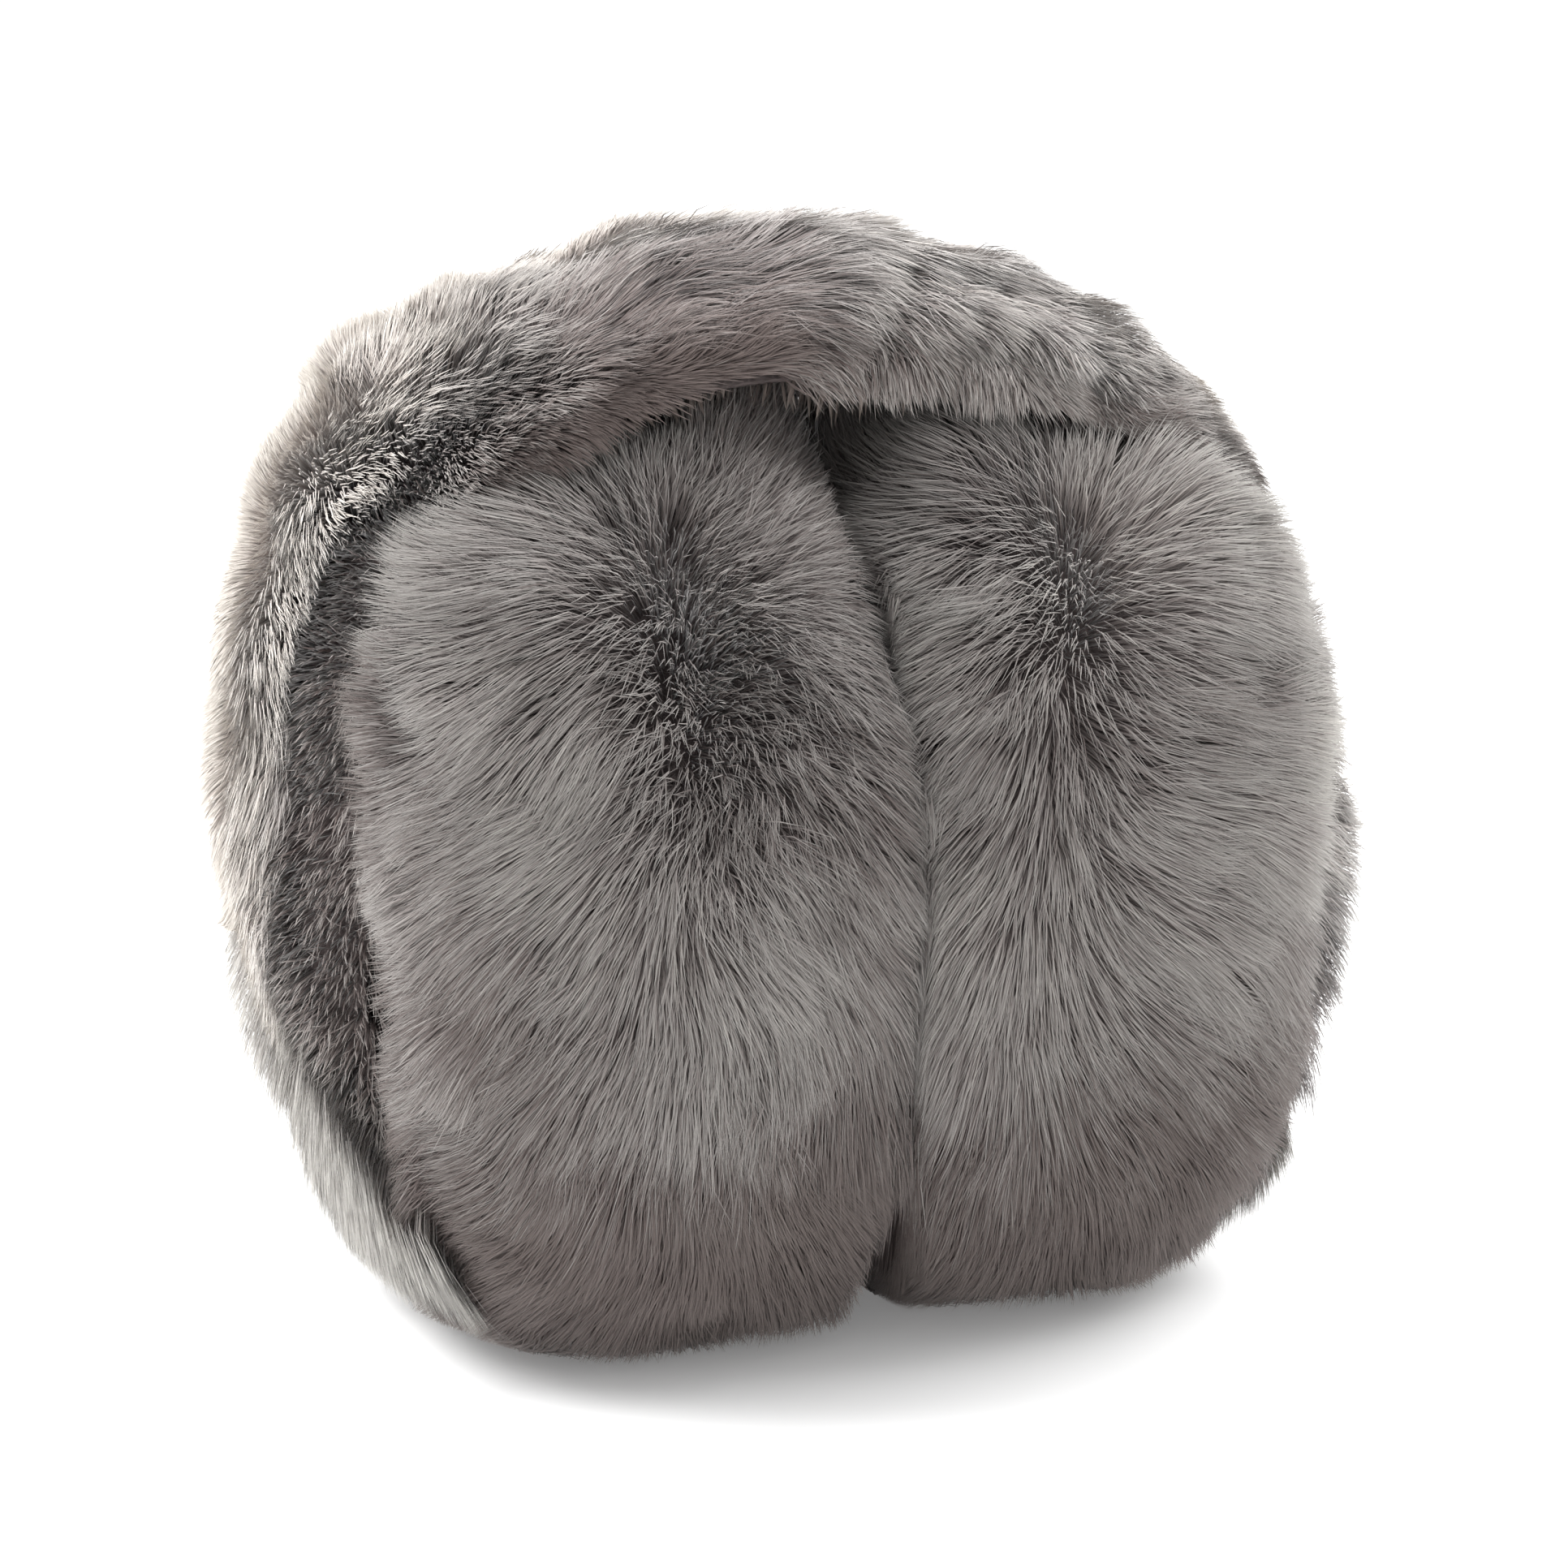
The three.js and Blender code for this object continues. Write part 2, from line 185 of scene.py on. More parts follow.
def pad_normal(side, directions):
    """The way out of the pile, from the slope of the pad's formula."""
    scaled = np.abs(directions / PAD_HALF)
    front, up = scaled[..., 1], scaled[..., 2]
    disc, _ = disc_and_pad(scaled)
    ring = np.maximum(disc, 1e-9) ** (RIM_SQUARENESS - DISC_SQUARENESS)
    slope = np.stack(
        [
            scaled[..., 0] ** (RIM_SQUARENESS - 1),
            ring * front ** (DISC_SQUARENESS - 1),
            ring * up ** (DISC_SQUARENESS - 1),
        ],
        -1,
    )
    return unit(leaned(side, np.sign(directions) * slope / PAD_HALF))


print("pad", [round(float(v) * 2 / MM) for v in PAD_HALF], "mm with its pile")

# %% [markdown]
# ## The shape of the band
#
# The band follows an oval over both pads. A place in it is given by its share of the way from
# seam to seam, -1 to 1, the hand of its edge, -1 at the front, and its share of the way round the
# section, from the stitched groove over the roll and the edge to the inside.

# %% Band arch
ARCH = {"half": 75 * MM, "top": 72 * MM, "shoulder": 74 * MM, "drop": 92 * MM, "shift": -3 * MM}
ARCH_SQUARENESS = 2.3
SEAM = {"height": 50 * MM, "tilt": 15.5 * MM, "bow": -11.5 * MM}
CROWN_WIDTH, END_WIDTH = 52 * MM, 42 * MM
COVER_THICKNESS, END_THICKNESS = 16 * MM, 11 * MM


def grows(value, start, over):
    """0 up to the start, 1 from a distance over past it, and even between."""
    return np.clip((value - start) / over, 0, 1)


def signed_power(value, power):
    """A power of the value's size, with the value's sign."""
    return np.sign(value) * np.abs(value) ** power


def arch_point(turn):
    """x and z of the band's outside. turn is 0 at the top."""
    power = 2 / ARCH_SQUARENESS
    share = signed_power(np.cos(turn), power)
    rise = np.where(share > 0, ARCH["top"], ARCH["drop"])
    x = ARCH["half"] * signed_power(np.sin(turn), power) + ARCH["shift"] * np.maximum(0, share)
    return np.stack([x, ARCH["shoulder"] + rise * share], -1)


def turn_at_height(height):
    """The turn at which the arch comes down to a height below its shoulder."""
    share = np.clip((ARCH["shoulder"] - height) / ARCH["drop"], 0, 1)
    return math.pi / 2 + np.arcsin(share ** (ARCH_SQUARENESS / 2))


def seam_at(across):
    """The seam's height, from the band's back edge at 1 to its front edge at -1."""
    return SEAM["height"] + SEAM["tilt"] * across + SEAM["bow"] * across**2


MIDDLE_END = turn_at_height(SEAM["height"])
arch_line = arch_point(np.linspace(-1, 1, 401) * MIDDLE_END)
ARCH_LENGTH = np.linalg.norm(np.diff(arch_line, axis=0), axis=1).sum()
TUFT_PITCH = 24 * MM
TUFT_COUNT = round(ARCH_LENGTH / TUFT_PITCH)
print("band", round(ARCH_LENGTH / MM), "mm from seam to seam,", TUFT_COUNT, "tufts")


def band_point(share, across, inset):
    """A point in the band, an inset below its outer line."""
    slant = share**4 * (turn_at_height(seam_at(across)) - MIDDLE_END)
    turn = share * MIDDLE_END + np.sign(share) * slant
    step = 1e-3
    along = arch_point(turn + step) - arch_point(turn - step)
    normal = unit(np.stack([-along[..., 1], along[..., 0]], -1))
    outer = arch_point(turn) - normal * inset[..., None]
    width = CROWN_WIDTH + (END_WIDTH - CROWN_WIDTH) * share**2
    return np.stack([outer[..., 0], across * width / 2, outer[..., 1]], -1)


# %% Band section
GROOVE_DEPTH, PUCKER = 1.8 * MM, 1.2 * MM
# across is a share of half the width, deep of the thickness, groove of the groove's depth, and
# drawn of the pucker beside a stitch.
SECTION = np.array(
    [
        # across, deep, groove, drawn
        (0, 0, 1, 0),
        (0.2, 0, 0.42, 0.6),
        (0.5, 0, 0, 1),
        (0.78, 0.12, 0, 0.8),
        (0.95, 0.36, 0, 0.4),
        (1, 0.62, 0, 0),
        (0.92, 0.88, 0, 0),
        (0.75, 1, 0, 0),
        (0.5, 1, 0, 0),
    ]
)


# %% A point on the band
# HANGING is the same as far as the edge, but then straight on, as hair hangs past it
HANGING = np.array([*SECTION[:6], (1, 0.9, 0, 0), (0.99, 1.25, 0, 0), (0.97, 1.7, 0, 0)])
VALLEY_SHIFT = 0.55  # how far the groove lies behind the middle, as a share of half the width
ROLL_RISE = {"front": 2 * MM, "back": 0.3 * MM}  # the front roll is the plumper one
FRONT_ROUND = 6 * MM  # how much the front roll falls away towards its edge, where it isn't fuller


def section_line(rows, passes=2):
    """The section with its corners cut, and the way round it in metres."""
    for _ in range(passes):
        near, far = rows[:-1], rows[1:]
        cut = np.stack([0.75 * near + 0.25 * far, 0.25 * near + 0.75 * far], 1)
        rows = np.concatenate([rows[:1], cut.reshape(-1, rows.shape[1]), rows[-1:]])
    flat = rows[:, :2] * [CROWN_WIDTH / 2, COVER_THICKNESS]
    flat[:, 1] += rows[:, 2] * GROOVE_DEPTH
    step = np.linalg.norm(np.diff(flat, axis=0), axis=1)
    return np.concatenate([[0], np.cumsum(step)]), rows


TUBE = section_line(SECTION)
HAIR_WAY = section_line(HANGING)
print("round half the tube", round(TUBE[0][-1] / MM, 1), "mm")


def on_band(share, hand, way, height=0.0, line=TUBE):
    """A point on the band's cover, a way round from the groove and a height above the pile."""

    def at(share, way):
        across, deep, groove, drawn = (np.interp(way, line[0], line[1][:, i]) for i in range(4))
        draw = 0.5 + 0.5 * np.cos((share + 1) * math.pi * TUFT_COUNT)
        thickness = COVER_THICKNESS + (END_THICKNESS - COVER_THICKNESS) * share**6
        inset = deep * thickness + GROOVE_DEPTH * groove * (0.6 + 0.4 * draw)
        inset = inset + PUCKER * drawn * draw
        inset = inset - np.where(hand < 0, ROLL_RISE["front"], ROLL_RISE["back"]) * drawn
        falling = grows(across, 0.2, 0.8) ** 1.2 * np.clip(1 - deep, 0, 1)
        fuller = 0.65 * np.clip(1 - ((share - 0.62) / 0.3) ** 2, 0, 1)
        fuller = np.maximum(fuller, grows(np.abs(share), 0.82, 0.12))
        inset = inset + np.where(hand < 0, FRONT_ROUND, 0) * falling * (1 - fuller)
        return band_point(share, VALLEY_SHIFT + (hand - VALLEY_SHIFT) * across, inset)

    step, part = 2e-3, 0.1 * MM
    here = at(share, way)
    along = at(share + step, way) - here
    down = at(share, np.minimum(way + part, line[0][-1])) - at(share, np.maximum(way - part, 0))
    normal = unit(np.cross(along, down) * np.asarray(hand)[..., None])
    return here + normal * np.asarray(height)[..., None], normal


# %% [markdown]
# ## How fur is made
#
# A hair starts deep in the pile, leans the way the fur is combed and ends at the outside. Real
# fur doesn't lie evenly: neighbouring hairs stick together in locks. So locks are placed first,
# each with a middle line of its own, and every hair is drawn towards the line of its nearest
# lock, more so towards its tip. Blender's own hair could do the same, but it isn't a mesh. Here
# numpy works on all the hairs of a piece at once, and each becomes a tapered ribbon of three
# triangles.

# %% Random numbers and soft wandering
STEPS = np.linspace(0, 1, 8)


def wander(points, wavelength, seed, waves=10):
    """A smooth random value round 0 that changes over about a wavelength."""
    dice = np.random.default_rng(seed)
    total = np.zeros(points.shape[:-1])
    for _ in range(waves):
        way = dice.normal(size=3)
        way *= 2 * math.pi / (wavelength * dice.uniform(0.8, 1.6) * np.linalg.norm(way))
        total += np.sin(points @ way + dice.uniform(0, 2 * math.pi))
    return total * math.sqrt(2 / waves)


def turned(flow, normal, angle):
    """Flow turned in the plane of the surface."""
    aside = np.cross(normal, flow)
    return flow * np.cos(angle)[:, None] + aside * np.sin(angle)[:, None]


# %% Locks
def drawn_together(curves, roots, guides, guide_roots, pull):
    """Draws each hair towards the nearest lock's middle line, more so towards its tip."""
    tree = KDTree(len(guide_roots))
    for i, root in enumerate(guide_roots):
        tree.insert(root, i)
    tree.balance()
    nearest = np.array([tree.find(root)[1] for root in roots])
    share = pull[:, None] * STEPS**1.3
    return curves + share[..., None] * (guides[nearest] - curves), nearest


# %% From curves to ribbons
ROWS = np.array([0.12, 0.62, 1.0])  # where a ribbon has its corners, from root to tip


def at_share(curves, share):
    """Points of each curve at its own shares of the way."""
    place = np.clip(share, 0, 1) * (len(STEPS) - 1)
    low = np.minimum(place.astype(int), len(STEPS) - 2)
    part = (place - low)[..., None]
    row = np.arange(len(curves))[:, None]
    return curves[row, low] * (1 - part) + curves[row, low + 1] * part


def fur_mesh(name, curves, normals, width, tint, reach, dice):
    """Tapered ribbons with the shading of a rounded lock, and a map of tint and length."""
    count = len(curves)
    spine = at_share(curves, ROWS[None] * reach[:, None])
    ahead = unit(np.concatenate([spine[:, 1:] - spine[:, :-1], spine[:, -1:] - spine[:, -2:-1]], 1))
    facing = normals[:, None] + 0.45 * unit(dice.normal(size=(count, 1, 3)))
    aside = unit(np.cross(ahead, facing))
    outward = np.cross(aside, ahead)
    half = (width / 2)[:, None, None] * aside[:, :2]
    corners = np.empty((count, 5, 3))
    corners[:, 0:4:2] = spine[:, :2] - half
    corners[:, 1:4:2] = spine[:, :2] + half
    corners[:, 4] = spine[:, 2]
    bend = 0.55
    shade = np.empty((count, 5, 3))
    main = outward + 0.5 * normals[:, None]
    shade[:, 0:4:2] = main[:, :2] - bend * aside[:, :2]
    shade[:, 1:4:2] = main[:, :2] + bend * aside[:, :2]
    shade[:, 4] = main[:, 2]
    triangles = np.array([(0, 1, 3), (0, 3, 2), (2, 3, 4)])
    faces = (np.arange(count)[:, None, None] * 5 + triangles).reshape(-1)
    strip = 0.006
    across = np.array([-1, 1, -1, 1, 0]) * strip
    along = np.repeat(ROWS, [2, 2, 1])
    uv = np.stack(
        [
            np.clip(tint, 0.02, 0.98)[:, None] + across,
            np.broadcast_to(along, (count, 5)),
        ],
        -1,
    ).reshape(-1, 2)
    mesh = bpy.data.meshes.new(name)
    mesh.vertices.add(count * 5)
    mesh.vertices.foreach_set("co", corners.astype(np.float32).ravel())
    mesh.loops.add(len(faces))
    mesh.loops.foreach_set("vertex_index", faces.astype(np.int32))
    mesh.polygons.add(len(faces) // 3)
    mesh.polygons.foreach_set("loop_start", np.arange(0, len(faces), 3, dtype=np.int32))
    mesh.update(calc_edges=True)
    layer = mesh.uv_layers.new(name="OFBake")
    layer.uv.foreach_set("vector", uv[faces].astype(np.float32).ravel())
    mesh.shade_smooth()
    mesh.normals_split_custom_set_from_vertices(unit(shade).reshape(-1, 3))
    mesh.validate()
    piece = bpy.data.objects.new(name, mesh)
    bpy.context.scene.collection.objects.link(piece)
    print(name, count, "hairs,", len(mesh.polygons), "triangles")
    return piece


# %% [markdown]
# ## Fur material
#
# A hair is dark and brown at its root, grey along its length and pale at its tip, and no two
# hairs have quite the same tint. Each ribbon carries both facts in its map: the way across the
# map is the tint, which also carries painted shade and light, the way up is the length. Fine
# streaks along the hair break up each ribbon, and a weak sheen gives the soft pale edge that plush
# shows where it is seen edge-on.


# %% Fur material
def node(tree, kind, sockets=(), **values):
    """A new node, with constants for its sockets and values of its own."""
    made = tree.nodes.new(kind)
    for key, value in values.items():
        setattr(made, key, value)
    for socket, value in dict(sockets).items():
        made.inputs[socket].default_value = value
    return made


def colour_ramp(tree, stops):
    """A ramp of colours with soft changes, from pairs of place and colour."""
    ramp = node(tree, "ShaderNodeValToRGB")
    ramp.color_ramp.interpolation = "EASE"
    while len(ramp.color_ramp.elements) < len(stops):
        ramp.color_ramp.elements.new(1)
    for element, (position, colour) in zip(ramp.color_ramp.elements, stops, strict=True):
        element.position, element.color = position, (*colour, 1)
    return ramp


def fur_material(name, root, middle, tip, dark, pale, sheen):
    """Fur with a tint across its map and root, middle and tip colours up it."""
    material = bpy.data.materials.new(name)
    material.use_nodes = True
    tree = material.node_tree
    shader = tree.nodes["Principled BSDF"]
    place = node(tree, "ShaderNodeUVMap", uv_map="OFBake")
    parts = node(tree, "ShaderNodeSeparateXYZ")
    tree.links.new(place.outputs["UV"], parts.inputs["Vector"])
    length = colour_ramp(tree, [(0.0, root), (0.45, middle), (1.0, tip)])
    tree.links.new(parts.outputs["Y"], length.inputs["Fac"])
    tint = colour_ramp(tree, [(0.0, dark), (0.5, (1, 1, 1)), (1.0, pale)])
    tree.links.new(parts.outputs["X"], tint.inputs["Fac"])
    stretch = node(tree, "ShaderNodeMapping", {"Scale": (260, 2.5, 1)})
    tree.links.new(place.outputs["UV"], stretch.inputs["Vector"])
    streaks = node(tree, "ShaderNodeTexNoise", {"Scale": 1, "Detail": 2})
    tree.links.new(stretch.outputs["Vector"], streaks.inputs["Vector"])
    spread = {"From Min": 0.25, "From Max": 0.75, "To Min": 0.72, "To Max": 1.25}
    light_streaks = node(tree, "ShaderNodeMapRange", spread)
    tree.links.new(streaks.outputs["Fac"], light_streaks.inputs["Value"])
    tinted = node(tree, "ShaderNodeMix", data_type="RGBA", blend_type="MULTIPLY")
    tinted.inputs["Factor"].default_value = 1
    tree.links.new(length.outputs["Color"], tinted.inputs[6])
    tree.links.new(tint.outputs["Color"], tinted.inputs[7])
    streaked = node(tree, "ShaderNodeVectorMath", operation="SCALE")
    tree.links.new(tinted.outputs[2], streaked.inputs[0])
    tree.links.new(light_streaks.outputs["Result"], streaked.inputs["Scale"])
    tree.links.new(streaked.outputs["Vector"], shader.inputs["Base Color"])
    gloss = node(tree, "ShaderNodeMapRange", {"To Min": 0.62, "To Max": 0.82})
    tree.links.new(streaks.outputs["Fac"], gloss.inputs["Value"])
    tree.links.new(gloss.outputs["Result"], shader.inputs["Roughness"])
    bump = node(tree, "ShaderNodeBump", {"Strength": 0.25, "Distance": 0.1 * MM})
    tree.links.new(streaks.outputs["Fac"], bump.inputs["Height"])
    tree.links.new(bump.outputs["Normal"], shader.inputs["Normal"])
    shader.inputs["Sheen Weight"].default_value = sheen
    shader.inputs["Sheen Roughness"].default_value = 0.45
    shader.inputs["Specular IOR Level"].default_value = 0.35
    return material


PAD_FUR = fur_material(
    "pad fur",
    root=(0.085, 0.066, 0.064),
    middle=(0.225, 0.194, 0.185),
    tip=(0.36, 0.343, 0.325),
    dark=(0.42, 0.362, 0.352),
    pale=(1.5, 1.53, 1.49),
    sheen=0.4,
)
BAND_FUR = fur_material(
    "band fur",
    root=(0.085, 0.066, 0.064),
    middle=(0.26, 0.225, 0.213),
    tip=(0.47, 0.442, 0.418),
    dark=(0.42, 0.358, 0.348),
    pale=(1.5, 1.5, 1.45),
    sheen=0.6,
)
LINING_PLUSH = fur_material(
    "lining plush",
    root=(0.06, 0.045, 0.04),
    middle=(0.22, 0.18, 0.16),
    tip=(0.34, 0.29, 0.26),
    dark=(0.6, 0.54, 0.52),
    pale=(1.4, 1.38, 1.34),
    sheen=0.2,
)


# %% Cloth under the fur
def backing_material():
    """The dark knitted back that carries the hairs, seen only where they part."""
    material = bpy.data.materials.new("knitted backing")
    material.use_nodes = True
    tree = material.node_tree
    shader = tree.nodes["Principled BSDF"]
    place = node(tree, "ShaderNodeTexCoord")
    knit = node(tree, "ShaderNodeTexVoronoi", {"Scale": 900})
    tree.links.new(place.outputs["Object"], knit.inputs["Vector"])
    shades = colour_ramp(tree, [(0.0, (0.075, 0.058, 0.056)), (1.0, (0.14, 0.112, 0.108))])
    tree.links.new(knit.outputs["Distance"], shades.inputs["Fac"])
    tree.links.new(shades.outputs["Color"], shader.inputs["Base Color"])
    bump = node(tree, "ShaderNodeBump", {"Distance": 0.4 * MM})
    tree.links.new(knit.outputs["Distance"], bump.inputs["Height"])
    tree.links.new(bump.outputs["Normal"], shader.inputs["Normal"])
    shader.inputs["Roughness"].default_value = 0.9
    return material


BACKING = backing_material()
print("materials:", [material.name for material in (PAD_FUR, BAND_FUR, LINING_PLUSH, BACKING)])


# %% Bodies under the fur
def smooth_body(name, points, faces):
    """A smooth closed piece from its points and faces."""
    mesh = bpy.data.meshes.new(name)
    mesh.from_pydata(points.tolist(), [], faces)
    mesh.shade_smooth()
    body = bpy.data.objects.new(name, mesh)
    bpy.context.scene.collection.objects.link(body)
    print(name, len(mesh.polygons), "faces")
    return body


def tube_body(name, rings):
    """A tube through rings of points, closed at both ends."""
    count, size = rings.shape[:2]
    faces = []
    for i in range(count - 1):
        for j in range(size):
            k = (j + 1) % size
            faces.append((i * size + j, i * size + k, (i + 1) * size + k, (i + 1) * size + j))
    faces.append(tuple(range(size))[::-1])
    faces.append(tuple((count - 1) * size + j for j in range(size)))
    return smooth_body(name, rings.reshape(-1, 3), faces)


def dressed(piece, material, node_name):
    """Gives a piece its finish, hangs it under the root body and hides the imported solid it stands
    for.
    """
    piece.data.materials.append(material)
    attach(piece, "root")
    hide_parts(node_name)
    return piece


# %% [markdown]
# ## Ear pads
#
# The stuffed body of a pad is a closed cushion about a centimetre inside the outer pile. Its fur
# parts along a line down the front, and another down the back: hairs flow away from it to both
# sides, up at the top and ever more downwards towards the floor. At the parting's upper end they
# stand on end, so one looks into the dark pile between them.

# %% Where the fur parts
# height and aside place the parting's line. outwards and inwards say how steeply the hairs rise on
# the side of the pad's flank and on the side of the other pad.
PARTINGS = {
    -1: np.array(
        [
            # height, aside, outwards, inwards
            (10, -34, -1.3, -2.6),
            (30, -34, -1.0, -2.6),
            (50, -34, -0.85, -2.4),
            (66, -34, -0.6, -2.0),
            (84, -30, -0.45, -1.8),
            (97, -28, -0.4, -1.5),
            (107, -28, -0.3, -1.1),
            (114, -27, -0.1, -0.6),
            (120, -27, 0.4, 0.0),
            (125, -27, 1.0, 0.6),
        ]
    ),
    1: np.array(
        [
            (10, 22, -1.6, -1.8),
            (30, 17, -1.2, -1.5),
            (50, 15, -0.8, -1.1),
            (66, 15, -0.55, -0.85),
            (82, 18, -0.35, -0.55),
            (97, 22, -0.35, -0.5),
            (107, 27, -0.25, -0.35),
            (115, 29, 0.05, 0.0),
            (120, 30, 0.7, 0.4),
            (125, 30, 1.3, 0.8),
        ]
    ),
}
PARTING_WIDTH = 8 * MM
# How far beside the parting's upper part the hairs stand, outwards and inwards, and the heights
# between which they do, with the height over which they lie down again below
STANDING = {
    -1: {"outwards": 8 * MM, "inwards": 25 * MM, "from": 97, "to": 127, "fade": 28},
    1: {"outwards": 7 * MM, "inwards": 7 * MM, "from": 106, "to": 118, "fade": 12},
}
print("partings:", {side: len(rows) for side, rows in PARTINGS.items()}, "rows")


def pad_flow(side, points, normals):
    """The way the fur is combed at points of a pad, and how flat it lies, 0 to 1."""
    heights, asides, outwards, inwards = PARTINGS[side].T
    height = points[:, 2] / MM
    aside = points[:, 0] - np.interp(height, heights, asides) * MM
    outer = 0.5 + 0.5 * np.tanh(side * aside / PARTING_WIDTH)
    climb = outer * np.interp(height, heights, outwards)
    climb += (1 - outer) * np.interp(height, heights, inwards)
    around = unit(np.stack([-normals[:, 1], normals[:, 0], np.zeros(len(normals))], -1))
    uphill = unit(np.array([0, 0, 1]) - normals[:, 2:] * normals)
    away = -np.tanh(normals[:, 1] / 0.1) * np.tanh(aside / PARTING_WIDTH)
    flow = around * away[:, None] + uphill * climb[:, None]
    standing = STANDING[side]
    width = outer * standing["outwards"] + (1 - outer) * standing["inwards"]
    beside = np.clip(np.abs(aside) / width, 0, 1) ** 1.3
    far_down = np.clip((standing["from"] - height) / standing["fade"], 0, 1)
    far_up = np.clip((height - standing["to"]) / 8, 0, 1)
    return unit(flow), 1 - (1 - beside) * (1 - 0.85 * np.maximum(far_down, far_up))


# %% Hairs on a pad
# depth is how deep the hairs are rooted, run how far a lying hair runs along the pad, and
# short_run a standing one. dent is how much lower the tips of standing hairs end. crest is how
# much further those at the back of the notch between the pads' crowns stand out, which closes the
# view under the band, and notch how much lower the right pad lies in the notch's front. peak and
# shoulder are the rises of the left pad's fur where it meets the band, at the crown and the flank.
PAD_PILE = {
    "depth": 12 * MM,
    "run": 17 * MM,
    "short_run": 4 * MM,
    "dent": 1 * MM,
    "crest": 7 * MM,
    "notch": 4 * MM,
    "peak": 9 * MM,
    "shoulder": 4 * MM,
}
PAD_RISE = 1.8  # how much steeper a hair rises at its root than at its tip


def scattered_directions(count, dice, wanted):
    """Directions from a pad's middle, spread evenly over its surface where it is wanted."""
    kept = []
    while sum(map(len, kept)) < count:
        some = unit(dice.normal(size=(count * 2, 3)))
        _, reach = disc_and_pad(np.abs(some / PAD_HALF))
        radius = 1 / reach
        steepness = np.einsum("ij,ij->i", pad_normal(0, some), some)
        area = radius**2 / steepness
        chosen = dice.uniform(size=len(some)) < area / area.max()
        some = some[chosen]
        kept.append(some[wanted(some)])
    return np.concatenate(kept)[:count]


# %% Tufts, hollows and fuller edges
# Where the left pad's fur rises to the band: place, height, in how many reaches it ends, and reach
RISES = [
    (np.array([-10, -15, 121]) * MM, PAD_PILE["peak"], 1.3, 11 * MM),
    (np.array([-47, -30, 106]) * MM, PAD_PILE["shoulder"], 1.2, 15 * MM),
]
# By height, how far the hairs just before the band's front face stand out, less than 0 where they
# end lower, and how far those of the right pad's outer front edge do
RUFF = np.array([(12, 0), (28, 0), (45, -3), (60, -4), (82, -1), (110, 0)]) * MM
OUTER_EDGE = MM * np.array(
    [(20, 1.3), (38, 4), (47, 4.2), (56, 5.5), (67, 6), (80, 5), (92, 2), (104, 6), (122, 3.5)]
)
# Hollows in the fur of both flanks, as places on the left pad, and their reach and depth
DENTS = np.array([(-60, -40, 96), (-62, -44, 78), (-59, -49, 42)]) * MM
DENT_REACH, DENT_DEPTH = 6 * MM, 3 * MM
print(len(RISES), "rises,", len(DENTS), "hollows")


def in_notch(points, front=False):
    """How much a place lies in the notch between the pads' crowns, its back part or all of it."""
    high = grows(points[:, 2], 108 * MM, 8 * MM)
    inner = np.clip(1.5 - np.abs(points[:, 0]) / (8 * MM), 0, 1)
    at_back = grows(points[:, 1], -20 * MM, 10 * MM)
    return high * inner * (1 if front else at_back)


def in_ruff(side, points, normals):
    """How much a place lies on the flank just before the band's front face, less on the right."""
    flank = grows(side * normals[:, 0], 0.4, 0.4)
    before = np.clip(1.3 - (-points[:, 1] - CROWN_WIDTH / 2) / (14 * MM), 0, 1)
    return flank * before * (points[:, 1] < 0) * (1 if side < 0 else 0.15)


# %% The line of a pad's hair
def laid_on_pad(side, directions, flow, run, tip, depth):
    """Hairs rooted at a depth that run along the flow, each with its tip at a depth of its own."""
    outer = on_pad(side, directions, np.zeros(len(directions)))
    own = leaned(side, flow, back=True)
    own = unit(own - np.einsum("ij,ij->i", own, directions)[:, None] * directions)
    radius = np.linalg.norm(outer - PAD_CENTRE * [side, 1, 1], axis=1)
    angle = (run / radius)[:, None] * STEPS
    way = directions[:, None] * np.cos(angle)[..., None] + own[:, None] * np.sin(angle)[..., None]
    return on_pad(side, way, depth + (tip - depth)[:, None] * (1 - (1 - STEPS) ** PAD_RISE))


def pad_curves(side, directions, dice, spread):
    """The line of a hair at each direction, from its root to its tip."""
    number = len(directions)
    outer = on_pad(side, directions, np.zeros(number))
    normals = pad_normal(side, directions)
    flow, lying = pad_flow(side, outer, normals)
    turn = 0.2 * wander(outer, 26 * MM, 11) + 0.14 * wander(outer, 9 * MM, 12)
    turn += (spread + 0.7 * (1 - lying)) * dice.normal(size=number)
    flow = turned(flow, normals, turn)
    run = PAD_PILE["short_run"] + (PAD_PILE["run"] - PAD_PILE["short_run"]) * lying
    ruff = in_ruff(side, outer, normals)
    run = run * (1 - 0.5 * ruff) * (1 + 0.5 * spread * dice.normal(size=number))
    tip = 0.8 * MM * wander(outer, 14 * MM, 13) + 4 * MM * spread * dice.normal(size=number)
    tip += PAD_PILE["dent"] * (1 - lying) - PAD_PILE["crest"] * in_notch(outer)
    tip -= ruff * np.interp(outer[:, 2], *RUFF.T)
    tip -= ruff * 1.5 * MM * wander(outer, 15 * MM, 15)
    for dent in DENTS:
        away = np.linalg.norm(outer - dent * [-side, 1, 1], axis=1)
        tip += DENT_DEPTH * np.clip(1 - away / DENT_REACH, 0, 1)
    if side < 0:
        for place, rise, full, reach in RISES:
            tip -= rise * np.clip(full - np.linalg.norm(outer - place, axis=1) / reach, 0, 1)
    else:
        tip += PAD_PILE["notch"] * (in_notch(outer, front=True) - in_notch(outer))
        on_edge = np.clip(1.3 - np.abs(normals @ towards_viewer) / 0.3, 0, 1)
        tip -= on_edge * (outer[:, 0] > 20 * MM) * np.interp(outer[:, 2], *OUTER_EDGE.T)
    return laid_on_pad(side, directions, flow, run, tip, PAD_PILE["depth"]), outer, normals, lying


# %% [markdown]
# Hairs mustn't grow through the band that lies on the pads. A small map of the upright plane says
# how deep a point lies in the band, and a hair is cut short where it would enter.

